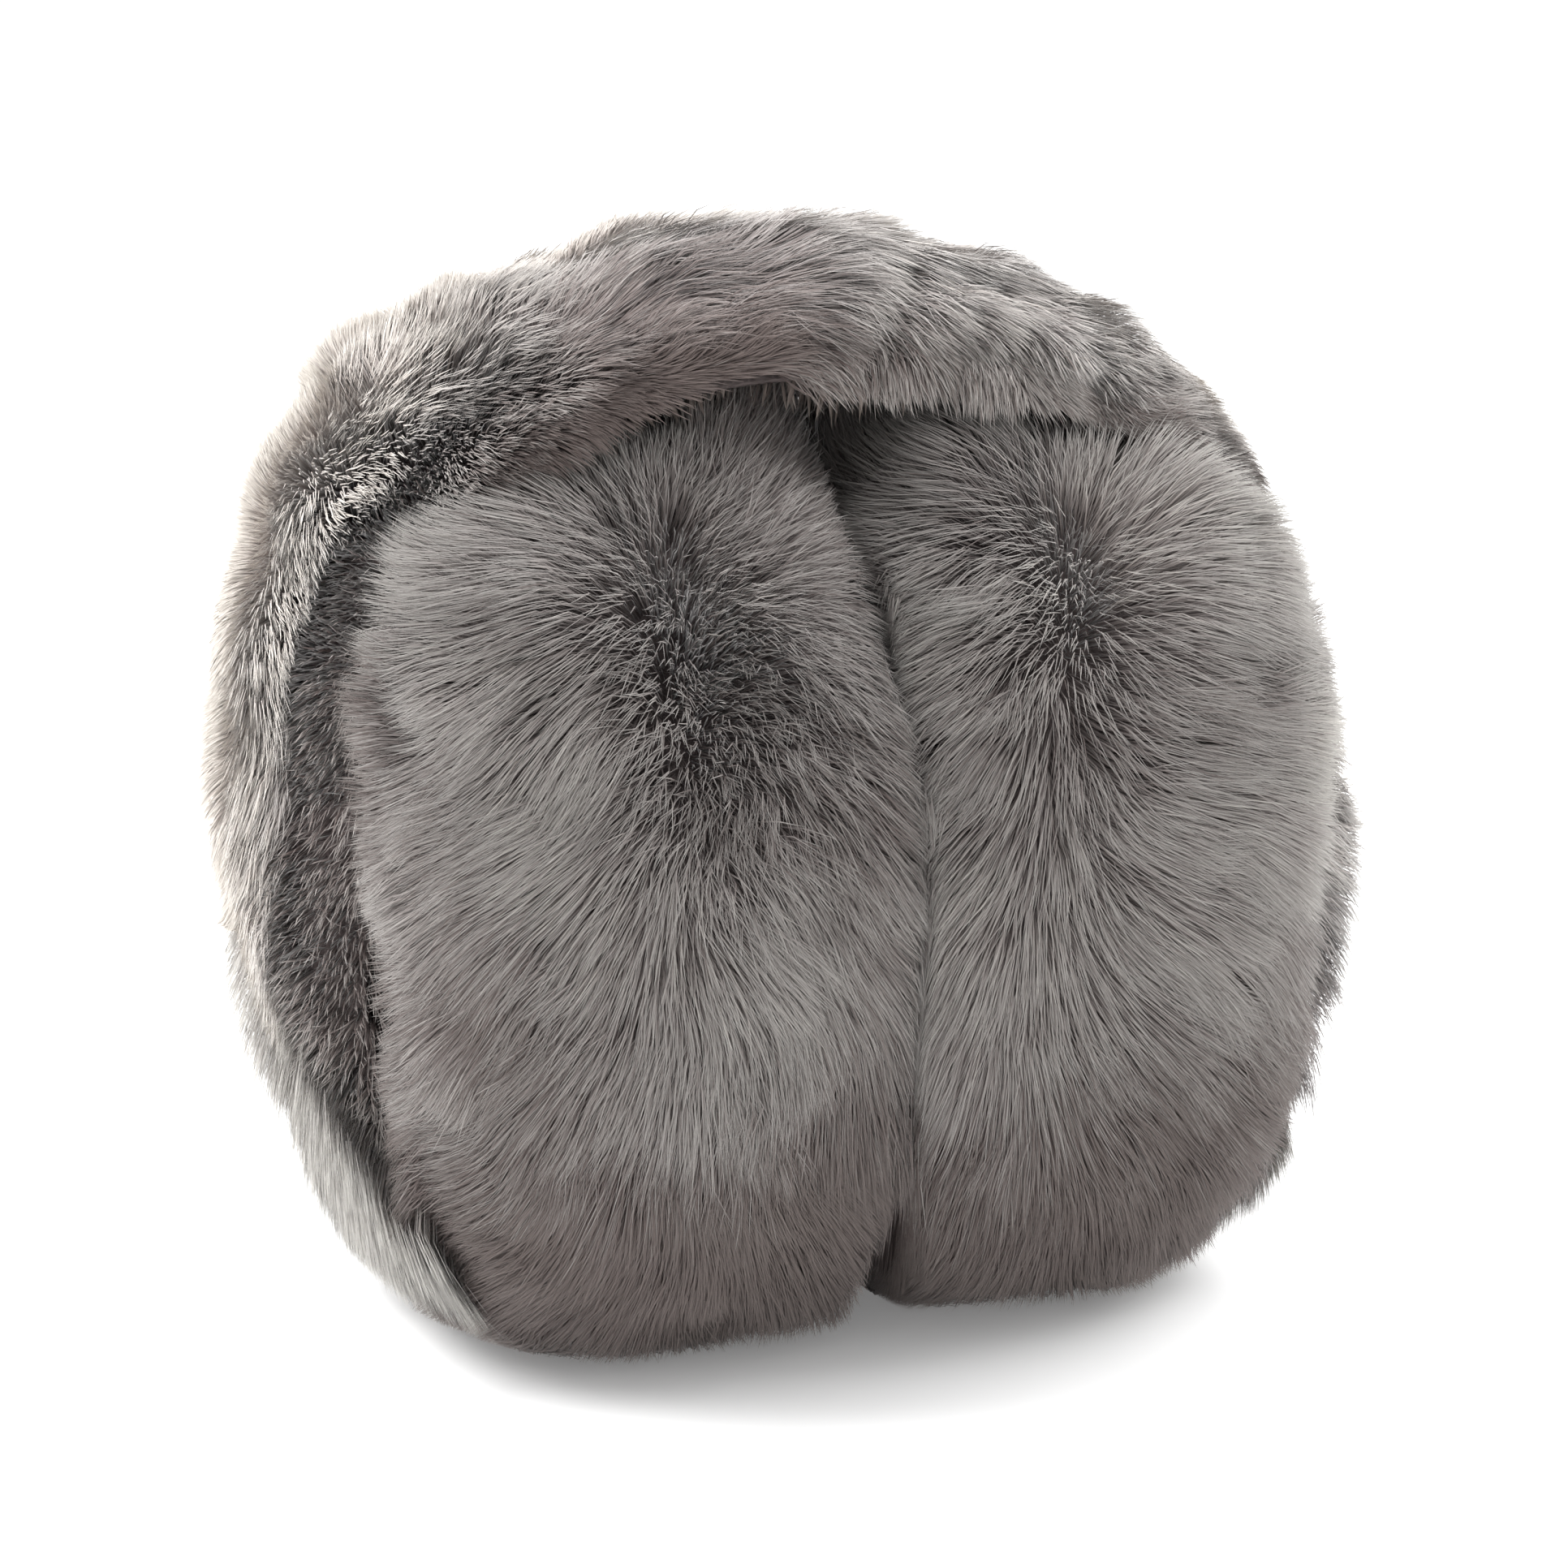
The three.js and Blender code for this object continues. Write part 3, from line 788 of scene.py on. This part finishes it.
# %% Keep clear of the band
MAP_STEP = 0.5 * MM
map_x = np.arange(-90, 90.1, 0.5) * MM
map_z = np.arange(-10, 160.1, 0.5) * MM
full_arch = arch_point(np.linspace(-math.pi, math.pi, 721))
grid = np.stack(np.meshgrid(map_x, map_z, indexing="ij"), -1)
band_map = np.min([np.linalg.norm(grid - point, axis=-1) for point in full_arch[::2]], axis=0)
print("band map", band_map.shape)


def in_band(points, margin):
    """True for points inside the band, less a margin."""
    i = np.clip(((points[..., 0] - map_x[0]) / MAP_STEP).astype(int), 0, len(map_x) - 1)
    k = np.clip(((points[..., 2] - map_z[0]) / MAP_STEP).astype(int), 0, len(map_z) - 1)
    depth = band_map[i, k]
    half = (CROWN_WIDTH / 2 - 2 * MM) - margin
    above_seam = points[..., 2] > seam_at(np.clip(points[..., 1] / (END_WIDTH / 2), -1, 1))
    return (depth < COVER_THICKNESS - margin) & (np.abs(points[..., 1]) < half) & above_seam


def clear_reach(curves, margin):
    """The share of each hair that stays out of the band."""
    inside = in_band(curves, margin)
    first = np.where(inside.any(axis=1), inside.argmax(axis=1), len(STEPS) - 1)
    return first / (len(STEPS) - 1)


# %% Where the pads rest and press on each other
FUR_GAP = 0.35 * MM  # between a pad's hairs and the floor
PRESSED_GAP = 0.12 * MM  # between a pad's hairs and the plane where the pads press on each other
# Where a pad rests, how much its lower edges round up, and how far the pads draw apart at the
# floor
FOOT = {
    "middle": 24 * MM,
    "half_width": 34 * MM,
    "half_depth": 51 * MM,
    "round": 17 * MM,
    "split": 5 * MM,
    "split_height": 45 * MM,
}


def pressed_plane(points):
    """How far to the right the plane of contact waves, so that no light passes between the pads."""
    wave = np.sin(points[..., 1] / (4.5 * MM) + points[..., 2] / (11 * MM))
    return 1.2 * MM * wave * np.clip(points[..., 2] / (30 * MM), 0, 1)


def held_in(side, points):
    """Points kept above the floor, round at the pad's lower edges, and clear of the other pad."""
    x, y, z = side * points[..., 0], points[..., 1], points[..., 2]
    off_centre = np.hypot((x - FOOT["middle"]) / FOOT["half_width"], y / FOOT["half_depth"])
    lowest = FUR_GAP + FOOT["round"] * np.clip(off_centre - 0.55, 0, 1) ** 2
    nearest = PRESSED_GAP + FOOT["split"] * np.clip(1 - z / FOOT["split_height"], 0, 1) ** 1.5
    nearest = nearest + side * pressed_plane(points)
    return np.stack([side * np.maximum(x, nearest), y, np.maximum(z, lowest)], -1)


# %% Fur of a pad
PAD_LOCKS = {"big": 600, "small": 7000}
HAIR_WIDTH = {-1: 0.17 * MM, 1: 0.22 * MM}  # front and back
WIDTH_RANGE = (0.7, 1.3)  # by how much single hairs are thinner or thicker
LENGTH_RANGE = (0.86, 1.0)
SHORTEST = 0.35  # of its length that a cut hair must keep
# How far the tint of a lock, of a single hair and of a larger patch strays
TINT_STRAY = {"lock": 0.06, "hair": 0.12, "patch": 0.06}
# painted shade: the pads' fur is painted darker towards the floor
LOW_PAINTED_SHADE = {-1: 1.1, 1: 0.92}  # how much darker the left and right pad are towards the floor
# painted shade where the hairs stand on the left pad; painted light there on the right pad, whose
# value is below 0
WHORL_PAINTED_SHADE = {-1: 0.06, 1: -0.16}  # and where the hairs stand
# By height in mm, how much darker the hairs just before the band's front face are painted: painted
# shade in the crevice between pad and band
RUFF_PAINTED_SHADE = np.array([(30, 0), (42, 0.35), (60, 0.3), (85, 0.12)])


def pad_tint_and_painted_light(side, roots, lying, ruff):
    """How a pad's fur is lighter or darker from place to place: tone that strays at random, and
    painted shade and light.
    """
    x, z = roots[:, 0], roots[:, 2]
    tint = TINT_STRAY["patch"] * wander(roots, 26 * MM, 14)
    # painted shade, darker towards the floor
    tint -= LOW_PAINTED_SHADE[side] * np.clip(1 - z / (66 * MM), 0, 1) ** 1.2
    # painted shade where the hairs stand (painted light on the right pad) and in the notch between
    # the crowns
    tint -= WHORL_PAINTED_SHADE[side] * (1 - lying) + 0.1 * in_notch(roots, front=side > 0)
    # painted shade in the crevice just before the band's front face
    tint -= ruff * np.interp(z / MM, *RUFF_PAINTED_SHADE.T)
    if side < 0:
        # painted shade on the left pad's inner half, away from the key lamp
        tint -= 0.2 * grows(x, -34 * MM, 25 * MM)
        # painted shade on the left pad's outer flank, halfway up
        halfway_up = np.clip(1.5 - np.abs(z - 76 * MM) / (20 * MM), 0, 1)
        tint -= 0.2 * grows(-x, 46 * MM, 8 * MM) * halfway_up
    else:
        # painted shade on the right pad's lower outer part
        tint -= 0.1 * grows(x, 15 * MM, 20 * MM) * (z < 75 * MM)
        # painted light on the right pad's upper outer edge, a painted rim light
        tint += 0.25 * grows(x, 42 * MM, 10 * MM) * (z > 65 * MM)
    return tint


def pad_fur(name, side, facing, count, seed):
    """Half of a pad's fur: the front for facing -1, the back for 1."""
    dice = np.random.default_rng(seed)

    def wanted(directions):
        outer = on_pad(side, directions, np.zeros(len(directions)))
        free = (side * outer[:, 0] > -1 * MM) & (outer[:, 2] > -2 * MM)
        return free & (facing * directions[:, 1] > 0) & ~in_band(outer, 4 * MM)

    big = scattered_directions(PAD_LOCKS["big"], dice, wanted)
    locks, big_roots, *_ = pad_curves(side, big, dice, 0.2)
    small = scattered_directions(PAD_LOCKS["small"], dice, wanted)
    small_curves, small_roots, *_ = pad_curves(side, small, dice, 0.16)
    pull = np.full(len(small), 0.3)
    small_curves, _ = drawn_together(small_curves, small_roots, locks, big_roots, pull)
    hairs = scattered_directions(count, dice, wanted)
    curves, roots, normals, lying = pad_curves(side, hairs, dice, 0.14)
    ruff = in_ruff(side, roots, normals)
    pull = dice.uniform(0.1, 0.5, size=len(hairs)) + 0.3 * ruff
    curves, nearest = drawn_together(curves, roots, small_curves, small_roots, pull)
    curves = held_in(side, curves)
    reach = clear_reach(curves, 0.5 * MM) * dice.uniform(*LENGTH_RANGE, size=len(hairs))
    kept = reach > SHORTEST
    lock_tint = dice.normal(size=len(small)) * TINT_STRAY["lock"]
    tint = 0.5 + lock_tint[nearest] + TINT_STRAY["hair"] * dice.normal(size=len(hairs))
    tint += pad_tint_and_painted_light(side, roots, lying, ruff)
    width = HAIR_WIDTH[facing] * dice.uniform(*WIDTH_RANGE, size=len(hairs))
    return fur_mesh(name, curves[kept], normals[kept], width[kept], tint[kept], reach[kept], dice)


# %% Stuffed body of a pad
def pad_body(name, side):
    """The stuffed cushion under the fur, a closed smooth shell."""
    rows, columns = 48, 64
    tilt = np.linspace(0, math.pi, rows)[1:-1]
    turn = np.arange(columns) * 2 * math.pi / columns
    ring = np.stack(
        [
            np.repeat(np.cos(tilt), columns),
            np.outer(np.sin(tilt), np.cos(turn)).ravel(),
            np.outer(np.sin(tilt), np.sin(turn)).ravel(),
        ],
        -1,
    )
    directions = np.concatenate([[(1, 0, 0)], ring, [(-1, 0, 0)]])
    points = on_pad(side, directions, np.full(len(directions), PAD_PILE["depth"] - 0.5 * MM))
    points = held_in(side, points) + [side * 1 * MM, 0, 1.2 * MM]
    last = len(points) - 1
    faces = []
    for c in range(columns):
        d = (c + 1) % columns
        faces.append((0, 1 + c, 1 + d))
        for r in range(rows - 3):
            a = 1 + r * columns
            faces.append((a + c, a + columns + c, a + columns + d, a + d))
        end = 1 + (rows - 3) * columns
        faces.append((end + c, last, end + d))
    return smooth_body(name, points, faces)


# %% Both pads
HAIR_SHARE = 1.0  # fewer hairs in a quick try
PAD_HAIRS = {"front": 58000, "back": 36000}
for label, side in [("left", -1), ("right", 1)]:
    body = dressed(pad_body(f"{label}_pad_body", side), BACKING, f"{label}_pad")
    for place, facing in [("front", -1), ("back", 1)]:
        count = int(PAD_HAIRS[place] * HAIR_SHARE)
        seed = 100 + 10 * side + facing
        fur = pad_fur(f"{label}_pad_fur_{place}", side, facing, count, seed)
        dressed(fur, PAD_FUR, f"{label}_pad")

# %% [markdown]
# ## Panels on the outer flanks
#
# Below the seam where the band's end is sewn on, each pad's flank carries a panel of the same
# long fur. Its hairs hang down and a little forwards. They are rooted from just under the band's
# end, so that their tips and not their dark roots show below the seam.

# %% Body of a panel
# half is half the panel's width, foot its lowest height, depth that of the hairs' roots, proud how
# far the fur stands out at its top, and swell how much more just below the seam.
PANEL = {
    "half": 27 * MM,
    "foot": 4 * MM,
    "depth": 8 * MM,
    "proud": 5 * MM,
    "swell": 2.5 * MM,
    "run": 11 * MM,
}


def seam_edge(y):
    """The seam's height at a distance y behind the middle."""
    return seam_at(np.clip(y / (END_WIDTH / 2), -1, 1))


def flank_directions(side, y, z):
    """Directions from a pad's middle to places on its outer flank, by a few steps of correction."""
    aim = np.stack([np.full(len(y), side * PAD_HALF[0]), y, z - PAD_CENTRE[2]], -1)
    way = unit(leaned(side, aim, back=True))
    for _ in range(8):
        error = np.stack([np.zeros(len(y)), y, z], -1) - on_pad(side, way, np.zeros(len(y)))
        error[:, 0] = 0
        way = unit(way + leaned(side, error, back=True) / PAD_HALF[0])
    return way


def panel_body(name, side):
    """The panel's backing, a thin cushion on the pad's flank."""
    across = np.linspace(-1, 1, 25)
    down = np.linspace(0, 1, 17)
    grid_across, grid_down = np.meshgrid(across, down, indexing="ij")
    y = grid_across * PANEL["half"] * np.sqrt(1 - 0.35 * grid_down**3)
    edge = seam_edge(y) - 2 * MM
    z = edge + (PANEL["foot"] + 3 * MM - edge) * grid_down
    layers = []
    for depth in (6.5 * MM, 8.5 * MM):
        flank = flank_directions(side, y.ravel(), z.ravel())
        layers.append(on_pad(side, flank, np.full(flank.shape[0], depth)))
    size = y.size
    rows, columns = y.shape
    faces = []
    for i in range(rows - 1):
        for j in range(columns - 1):
            a = i * columns + j
            quad = (a, a + 1, a + columns + 1, a + columns)
            quad = quad if side > 0 else quad[::-1]
            faces.append(quad[::-1])
            faces.append(tuple(size + v for v in quad))
    rim = [i * columns for i in range(rows)]
    rim += [(rows - 1) * columns + j for j in range(1, columns)]
    rim += [i * columns + columns - 1 for i in range(rows - 2, -1, -1)]
    rim += list(range(columns - 2, 0, -1))
    for a, b in zip(rim, rim[1:] + rim[:1], strict=True):
        wall = (a, b, size + b, size + a)
        faces.append(wall if side > 0 else wall[::-1])
    return smooth_body(name, np.concatenate(layers), faces)


# %% Fur of a panel
PANEL_LOCKS = 500
HANGING_WAY = np.array([0, -0.7, -1])  # down and a little forwards


def panel_fur(name, side, count, seed):
    """The panel's fur, from just under the band's end down to its foot."""
    dice = np.random.default_rng(seed)

    def rooted(number, spread):
        across = dice.uniform(-1, 1, size=number)
        down = dice.uniform(0, 1, size=number)
        y = across * PANEL["half"] * np.sqrt(1 - 0.35 * down**3)
        edge = seam_edge(y) + 5 * MM
        z = edge + (PANEL["foot"] - edge) * down
        directions = flank_directions(side, y, z)
        outer = on_pad(side, directions, np.zeros(number))
        normals = pad_normal(side, directions)
        flow = unit(HANGING_WAY - (normals @ HANGING_WAY)[:, None] * normals)
        turn = 0.25 * wander(outer, 22 * MM, 31) + spread * dice.normal(size=number)
        flow = turned(flow, normals, turn)
        run = PANEL["run"] * (1 + 0.5 * spread * dice.normal(size=number))
        fall = grows(-across, 0.45, 0.55) + grows(across, 0.8, 0.2)
        edge_fall = fall * np.where(across < 0, 0.35 + 0.65 * down**2, 1)
        tip = -PANEL["proud"] * (1 - 0.6 * down) * (1 - edge_fall) + 1 * MM * fall * down**2
        tip += 2 * MM * down**2 * np.clip(0.5 - across, 0, 1)
        swell = np.clip(1 - ((z - 49 * MM) / (16 * MM)) ** 2, 0, 1) * (1 - 0.6 * fall)
        tip -= PANEL["swell"] * swell
        tip += 3 * MM * spread * dice.normal(size=number)
        return laid_on_pad(side, directions, flow, run, tip, PANEL["depth"]), outer, normals

    guides, guide_roots, _ = rooted(PANEL_LOCKS, 0.16)
    curves, roots, normals = rooted(count, 0.14)
    pull = dice.uniform(0.15, 0.6, size=count)
    curves, nearest = drawn_together(curves, roots, guides, guide_roots, pull)
    curves = held_in(side, curves)
    tint = 0.88 + (dice.normal(size=PANEL_LOCKS) * TINT_STRAY["lock"])[nearest]
    tint = tint + TINT_STRAY["hair"] * dice.normal(size=count)
    # painted shade: darker towards the floor
    tint -= 0.3 * np.clip(1 - roots[:, 2] / (30 * MM), 0, 1)
    width = HAIR_WIDTH[-1] * dice.uniform(*WIDTH_RANGE, size=count)
    reach = dice.uniform(*LENGTH_RANGE, size=count)
    return fur_mesh(name, curves, normals, width, tint, reach, dice)


# %% Both panels
PANEL_HAIRS = 10500
for label, side in [("left", -1), ("right", 1)]:
    node_name = f"{label}_pad_panel"
    body = dressed(panel_body(f"{node_name}_body", side), BACKING, node_name)
    count = int(PANEL_HAIRS * HAIR_SHARE)
    fur = panel_fur(f"{node_name}_fur", side, count, 200 + side)
    dressed(fur, PAD_FUR, node_name)

# %% [markdown]
# ## Band
#
# The band is a padded tube of medium fur, stitched along a line behind its middle, so that a wide
# and a narrow roll stand beside a dimpled groove. Its hairs run along the band and away from the
# groove, lie flat on the outside, stand on end on the front and back faces and hang over the
# crown's edges. They turn slowly, because a sudden parting would bare their dark roots.

# %% Band body
# run is a hair's length along the cover, at the ends, at the crown and on the crown's front and
# back faces. stand is how much further it stands out on those faces elsewhere.
BAND_PILE = {
    "depth": 5 * MM,
    "end_run": 7 * MM,
    "crown_run": 13 * MM,
    "face_run": 8 * MM,
    "stand": 1 * MM,
}


def band_body(name):
    """The padded tube under the fur, both rolls and the groove."""
    stations = TUFT_COUNT * 8 + 1
    ways = np.linspace(0, TUBE[0][-1], 21)
    shares = np.linspace(-1, 1, stations)
    rings = []
    for hand, order in ((-1, ways), (1, ways[::-1][:-1])):
        s, w = np.meshgrid(shares, order, indexing="ij")
        sunk = np.full(s.shape, 1 * MM - BAND_PILE["depth"])
        rings.append(on_band(s, np.full(s.shape, hand), w, sunk)[0])
    return tube_body(name, np.concatenate(rings, 1))


# %% How the band is combed
# Round the share called turn the hairs turn slowly from running down the left leg to running up
# and over the crown. across is how much they also run away from the groove, less how much less so
# on the right and on the back roll, level the x round which the front roll's hairs run straight
# along the band, and over how much more they run over the edges at the crown.
BAND_COMB = {"turn": -0.62, "across": 0.65, "less": 0.35, "level": -38 * MM, "over": 0.4}
ROOTED_TO = float(np.interp(0.95, HAIR_WAY[1][2:, 1], HAIR_WAY[0][2:]))  # the lowest roots
# Places along the band where the pile is loftier: share, half its length and extra height
LOFTS = [
    (-0.5, 0.22, 1.2 * MM),
    (-0.55, 0.13, 2.2 * MM),
    (-0.72, 0.16, 1.2 * MM),
    (-0.93, 0.22, 3.6 * MM),
    (-0.39, 0.14, 3 * MM),
    (-0.17, 0.1, -1.5 * MM),
    (-0.01, 0.1, 1 * MM),
    (0.5, 0.3, 2.5 * MM),
    (0.66, 0.2, 1.2 * MM),
]
print("hairs of the band are rooted as far as", round(ROOTED_TO / MM, 1), "mm from the groove")


def band_regions(outer, hand, way):
    """How much a place of the band lies on its front or back face, and how much at the crown."""
    from_crown = outer[:, 0] - 6 * MM
    crown = np.clip(1.25 - np.abs(from_crown) / np.where(from_crown < 0, 60 * MM, 50 * MM), 0, 1)
    crown = crown * crown * (3 - 2 * crown)
    across, deep = (np.interp(way, HAIR_WAY[0], HAIR_WAY[1][:, i]) for i in range(2))
    on_face = grows(deep, 0.12, 0.3)
    ridge = 0.42 + 0.15 * grows(outer[:, 2], 106 * MM, 8 * MM)
    past_ridge = grows(across, ridge, 0.2) * (1 - crown) * (hand < 0)
    return np.maximum(on_face, past_ridge), crown


# %% The line of a band's hair
def band_curves(share, hand, way, dice, spread):
    """The line of a hair at each place of the band, and the facts that its tint depends on."""
    number = len(share)
    outer, normals = on_band(share, hand, way, line=HAIR_WAY)
    on_face, crown = band_regions(outer, hand, way)
    along = np.tanh((share - BAND_COMB["turn"]) / 0.3)
    less = BAND_COMB["less"] * np.clip(outer[:, 0] / (40 * MM), 0, 1)
    level = np.exp(-(((outer[:, 0] - BAND_COMB["level"]) / (24 * MM)) ** 2))
    less = less + 0.6 * level * (1 - on_face)
    less = np.where(hand > 0, BAND_COMB["less"] * (1 - on_face), less)
    less = less - BAND_COMB["over"] * on_face * crown
    angle = np.arctan2(BAND_COMB["across"] - less, along)
    angle = angle + (0.3 + 0.25 * crown) * wander(outer, 20 * MM, 21)
    angle = angle + 0.2 * wander(outer, 8 * MM, 22) + spread * dice.normal(size=number)
    run = BAND_PILE["end_run"] + (BAND_PILE["crown_run"] - BAND_PILE["end_run"]) * crown
    on_crown_face = BAND_PILE["face_run"] * crown + 0.25 * run * (1 - crown)
    run = run + (on_crown_face - run) * on_face
    run = run * (1 + 0.6 * spread * dice.normal(size=number))
    run = run * np.clip(0.45 + way / (6 * MM), 0, 1)
    angle = angle + 0.8 * on_face * (1 - crown) ** 4 * dice.normal(size=number)
    share_run = (run * np.cos(angle) * 2 / ARCH_LENGTH)[:, None] * STEPS
    way_run = (run * np.sin(angle))[:, None] * STEPS
    tip = (0.3 + 0.9 * crown) * MM * wander(outer, 12 * MM, 23)
    tip = tip + (1.5 + 2.5 * crown) * MM * spread * dice.normal(size=number)
    at_end = grows(np.abs(share), 0.86, 0.08)
    tip = tip + (BAND_PILE["stand"] * (1 - crown) + 2 * MM * at_end) * on_face
    for middle, half, extra in LOFTS:
        near = np.clip(1 - ((share - middle) / half) ** 2, 0, 1)
        tip = tip + extra * near**1.5 * (1 - on_face)
    rise = 1 - (1 - STEPS) ** 1.6
    height = -BAND_PILE["depth"] + (tip + BAND_PILE["depth"])[:, None] * rise
    new_share = np.clip(share[:, None] + share_run, -1.02, 1.02)
    new_way = np.clip(way[:, None] + way_run, 0, HAIR_WAY[0][-1])
    hands = np.repeat(hand[:, None], len(STEPS), 1)
    curves, _ = on_band(new_share, hands, new_way, height, HAIR_WAY)
    return curves, outer, normals, on_face, crown, way, share


# %% Fur of the band
BAND_LOCKS = {"big": 320, "small": 4500}
BAND_HAIR_WIDTH = 0.21 * MM


def band_tint_and_painted_light(hand_sign, roots, on_face, crown, ways, shares):
    """How the band's fur is lighter or darker from place to place: painted light and shade, and
    tone that strays at random at the crown.
    """
    # painted light on the rolls' outer sides away from the crown, painted shade on the front and
    # back faces
    tint = 0.38 * (1 - on_face) * (1 - crown) ** 1.5 - 0.32 * on_face * (1 - 0.5 * crown * crown)
    tint += 0.05 * wander(roots, 15 * MM, 24) * crown
    left_shoulder = np.exp(-(((roots[:, 0] + 25 * MM) / (20 * MM)) ** 2))
    if hand_sign > 0:
        # painted light on the back roll beside the groove and on its left shoulder
        tint += 0.15 * np.clip(1.5 - ways / (8 * MM), 0, 1) + 0.2 * left_shoulder
    else:
        # painted shade on the front roll's left shoulder
        tint -= 0.6 * left_shoulder * grows(ways, 7 * MM, 7 * MM)
    # painted shade along the groove
    tint -= 0.05 * np.clip(1 - ways / (2.5 * MM), 0, 1)
    # painted highlight along the rolled edge at the seam
    return tint + 0.3 * grows(np.abs(shares), 0.94, 0.03)  # the pale rolled edge at the seam


def band_fur(name, hand_sign, count, seed):
    """The fur of the front roll for hand -1, of the back roll for 1."""
    dice = np.random.default_rng(seed)

    def rooted(number, spread):
        share = dice.uniform(-1, 1, size=number)
        way = dice.uniform(0, ROOTED_TO, size=number)
        hand = np.full(number, hand_sign, dtype=float)
        return band_curves(share, hand, way, dice, spread)

    small = BAND_LOCKS["small"]
    locks, lock_roots, *_ = rooted(BAND_LOCKS["big"], 0.25)
    small_curves, small_roots, *_ = rooted(small, 0.2)
    pull = np.full(small, 0.35)
    small_curves, _ = drawn_together(small_curves, small_roots, locks, lock_roots, pull)
    curves, roots, normals, on_face, crown, ways, shares = rooted(count, 0.18)
    pull = dice.uniform(0.1, 0.5, size=count) * (1 - 0.7 * on_face * (1 - crown * crown))
    curves, nearest = drawn_together(curves, roots, small_curves, small_roots, pull)
    curves[..., 2] = np.maximum(curves[..., 2], FUR_GAP)
    tint = 0.55 + (dice.normal(size=small) * 0.07)[nearest]
    tint = tint + TINT_STRAY["hair"] * dice.normal(size=count)
    tint += band_tint_and_painted_light(hand_sign, roots, on_face, crown, ways, shares)
    width = BAND_HAIR_WIDTH * dice.uniform(*WIDTH_RANGE, size=count)
    reach = dice.uniform(0.85, 1.0, size=count)
    return fur_mesh(name, curves, normals, width, tint, reach, dice)


# %% The whole band
body = dressed(band_body("band_body"), BACKING, "band_cover")
BAND_HAIRS = {"front": 56000, "back": 50000}
for place, hand in [("front", -1), ("back", 1)]:
    count = int(BAND_HAIRS[place] * HAIR_SHARE)
    fur = band_fur(f"band_fur_{place}", hand, count, 300 + hand)
    dressed(fur, BAND_FUR, "band_cover")

# %% [markdown]
# ## Lining
#
# The inside of the band is lined with short dark plush. It shows only in the hollow above the
# pads, so a thin shell with thick single hairs is enough. It lies further in than the cover's
# edges, whose hanging hairs hide its own.

# %% Lining
LINING = {
    "thickness": 4 * MM,
    "inset": 7 * MM,
    "gap": 0.3 * MM,
    "pile": 2.6 * MM,
    "crown_pile": 4 * MM,
}
# The section of the shell, as shares of half the band's width and of the lining's thickness
LINING_SECTION = [(-1, 0.3), (-0.9, 0), (0, 0), (0.9, 0), (1, 0.3), (0.86, 0.55), (-0.86, 0.55)]
LINING_STATIONS, LINING_HAIRS = 97, 4000


def lining_point(share, across, deep):
    """A point a depth below the lining's upper side."""
    thickness = COVER_THICKNESS + (END_THICKNESS - COVER_THICKNESS) * share**6
    point = band_point(share, across, thickness + LINING["gap"] + deep)
    point[..., 1] -= across * LINING["inset"]
    return point


def lining_body(name):
    """The lining's cloth, a thin curved shell."""
    shares = np.linspace(-1, 1, LINING_STATIONS)
    level = np.ones(LINING_STATIONS)
    lines = [
        lining_point(shares, across * level, deep * LINING["thickness"] * level)
        for across, deep in LINING_SECTION
    ]
    return tube_body(name, np.stack(lines, 1))


def lining_fur(name, count, seed):
    """The lining's short pile, longer in the hollow above the pads."""
    dice = np.random.default_rng(seed)
    share = dice.uniform(-0.96, 0.96, size=count)
    across = dice.uniform(-0.92, 0.92, size=count)
    root = lining_point(share, across, np.full(count, LINING["thickness"] - LINING["pile"]))
    crown = np.clip(1.2 - np.abs(root[:, 0]) / (14 * MM), 0, 1)
    longer = 0.3 * MM + LINING["crown_pile"] * crown * dice.uniform(0.6, 1.1, size=count)
    tip = lining_point(share, across, LINING["thickness"] + longer)
    normals = unit(tip - root)
    lean = 1.4 * MM * unit(dice.normal(size=(count, 3)))
    curves = root[:, None] + (tip + lean - root)[:, None] * STEPS[:, None]
    tint = 0.5 + 0.15 * dice.normal(size=count)
    width = 0.5 * MM * dice.uniform(*WIDTH_RANGE, size=count)
    return fur_mesh(name, curves, normals, width, tint, np.ones(count), dice)


dressed(lining_body("band_lining_body"), BACKING, "band_lining")
pile = lining_fur("band_lining_pile", LINING_HAIRS, 400)
dressed(pile, LINING_PLUSH, "band_lining")
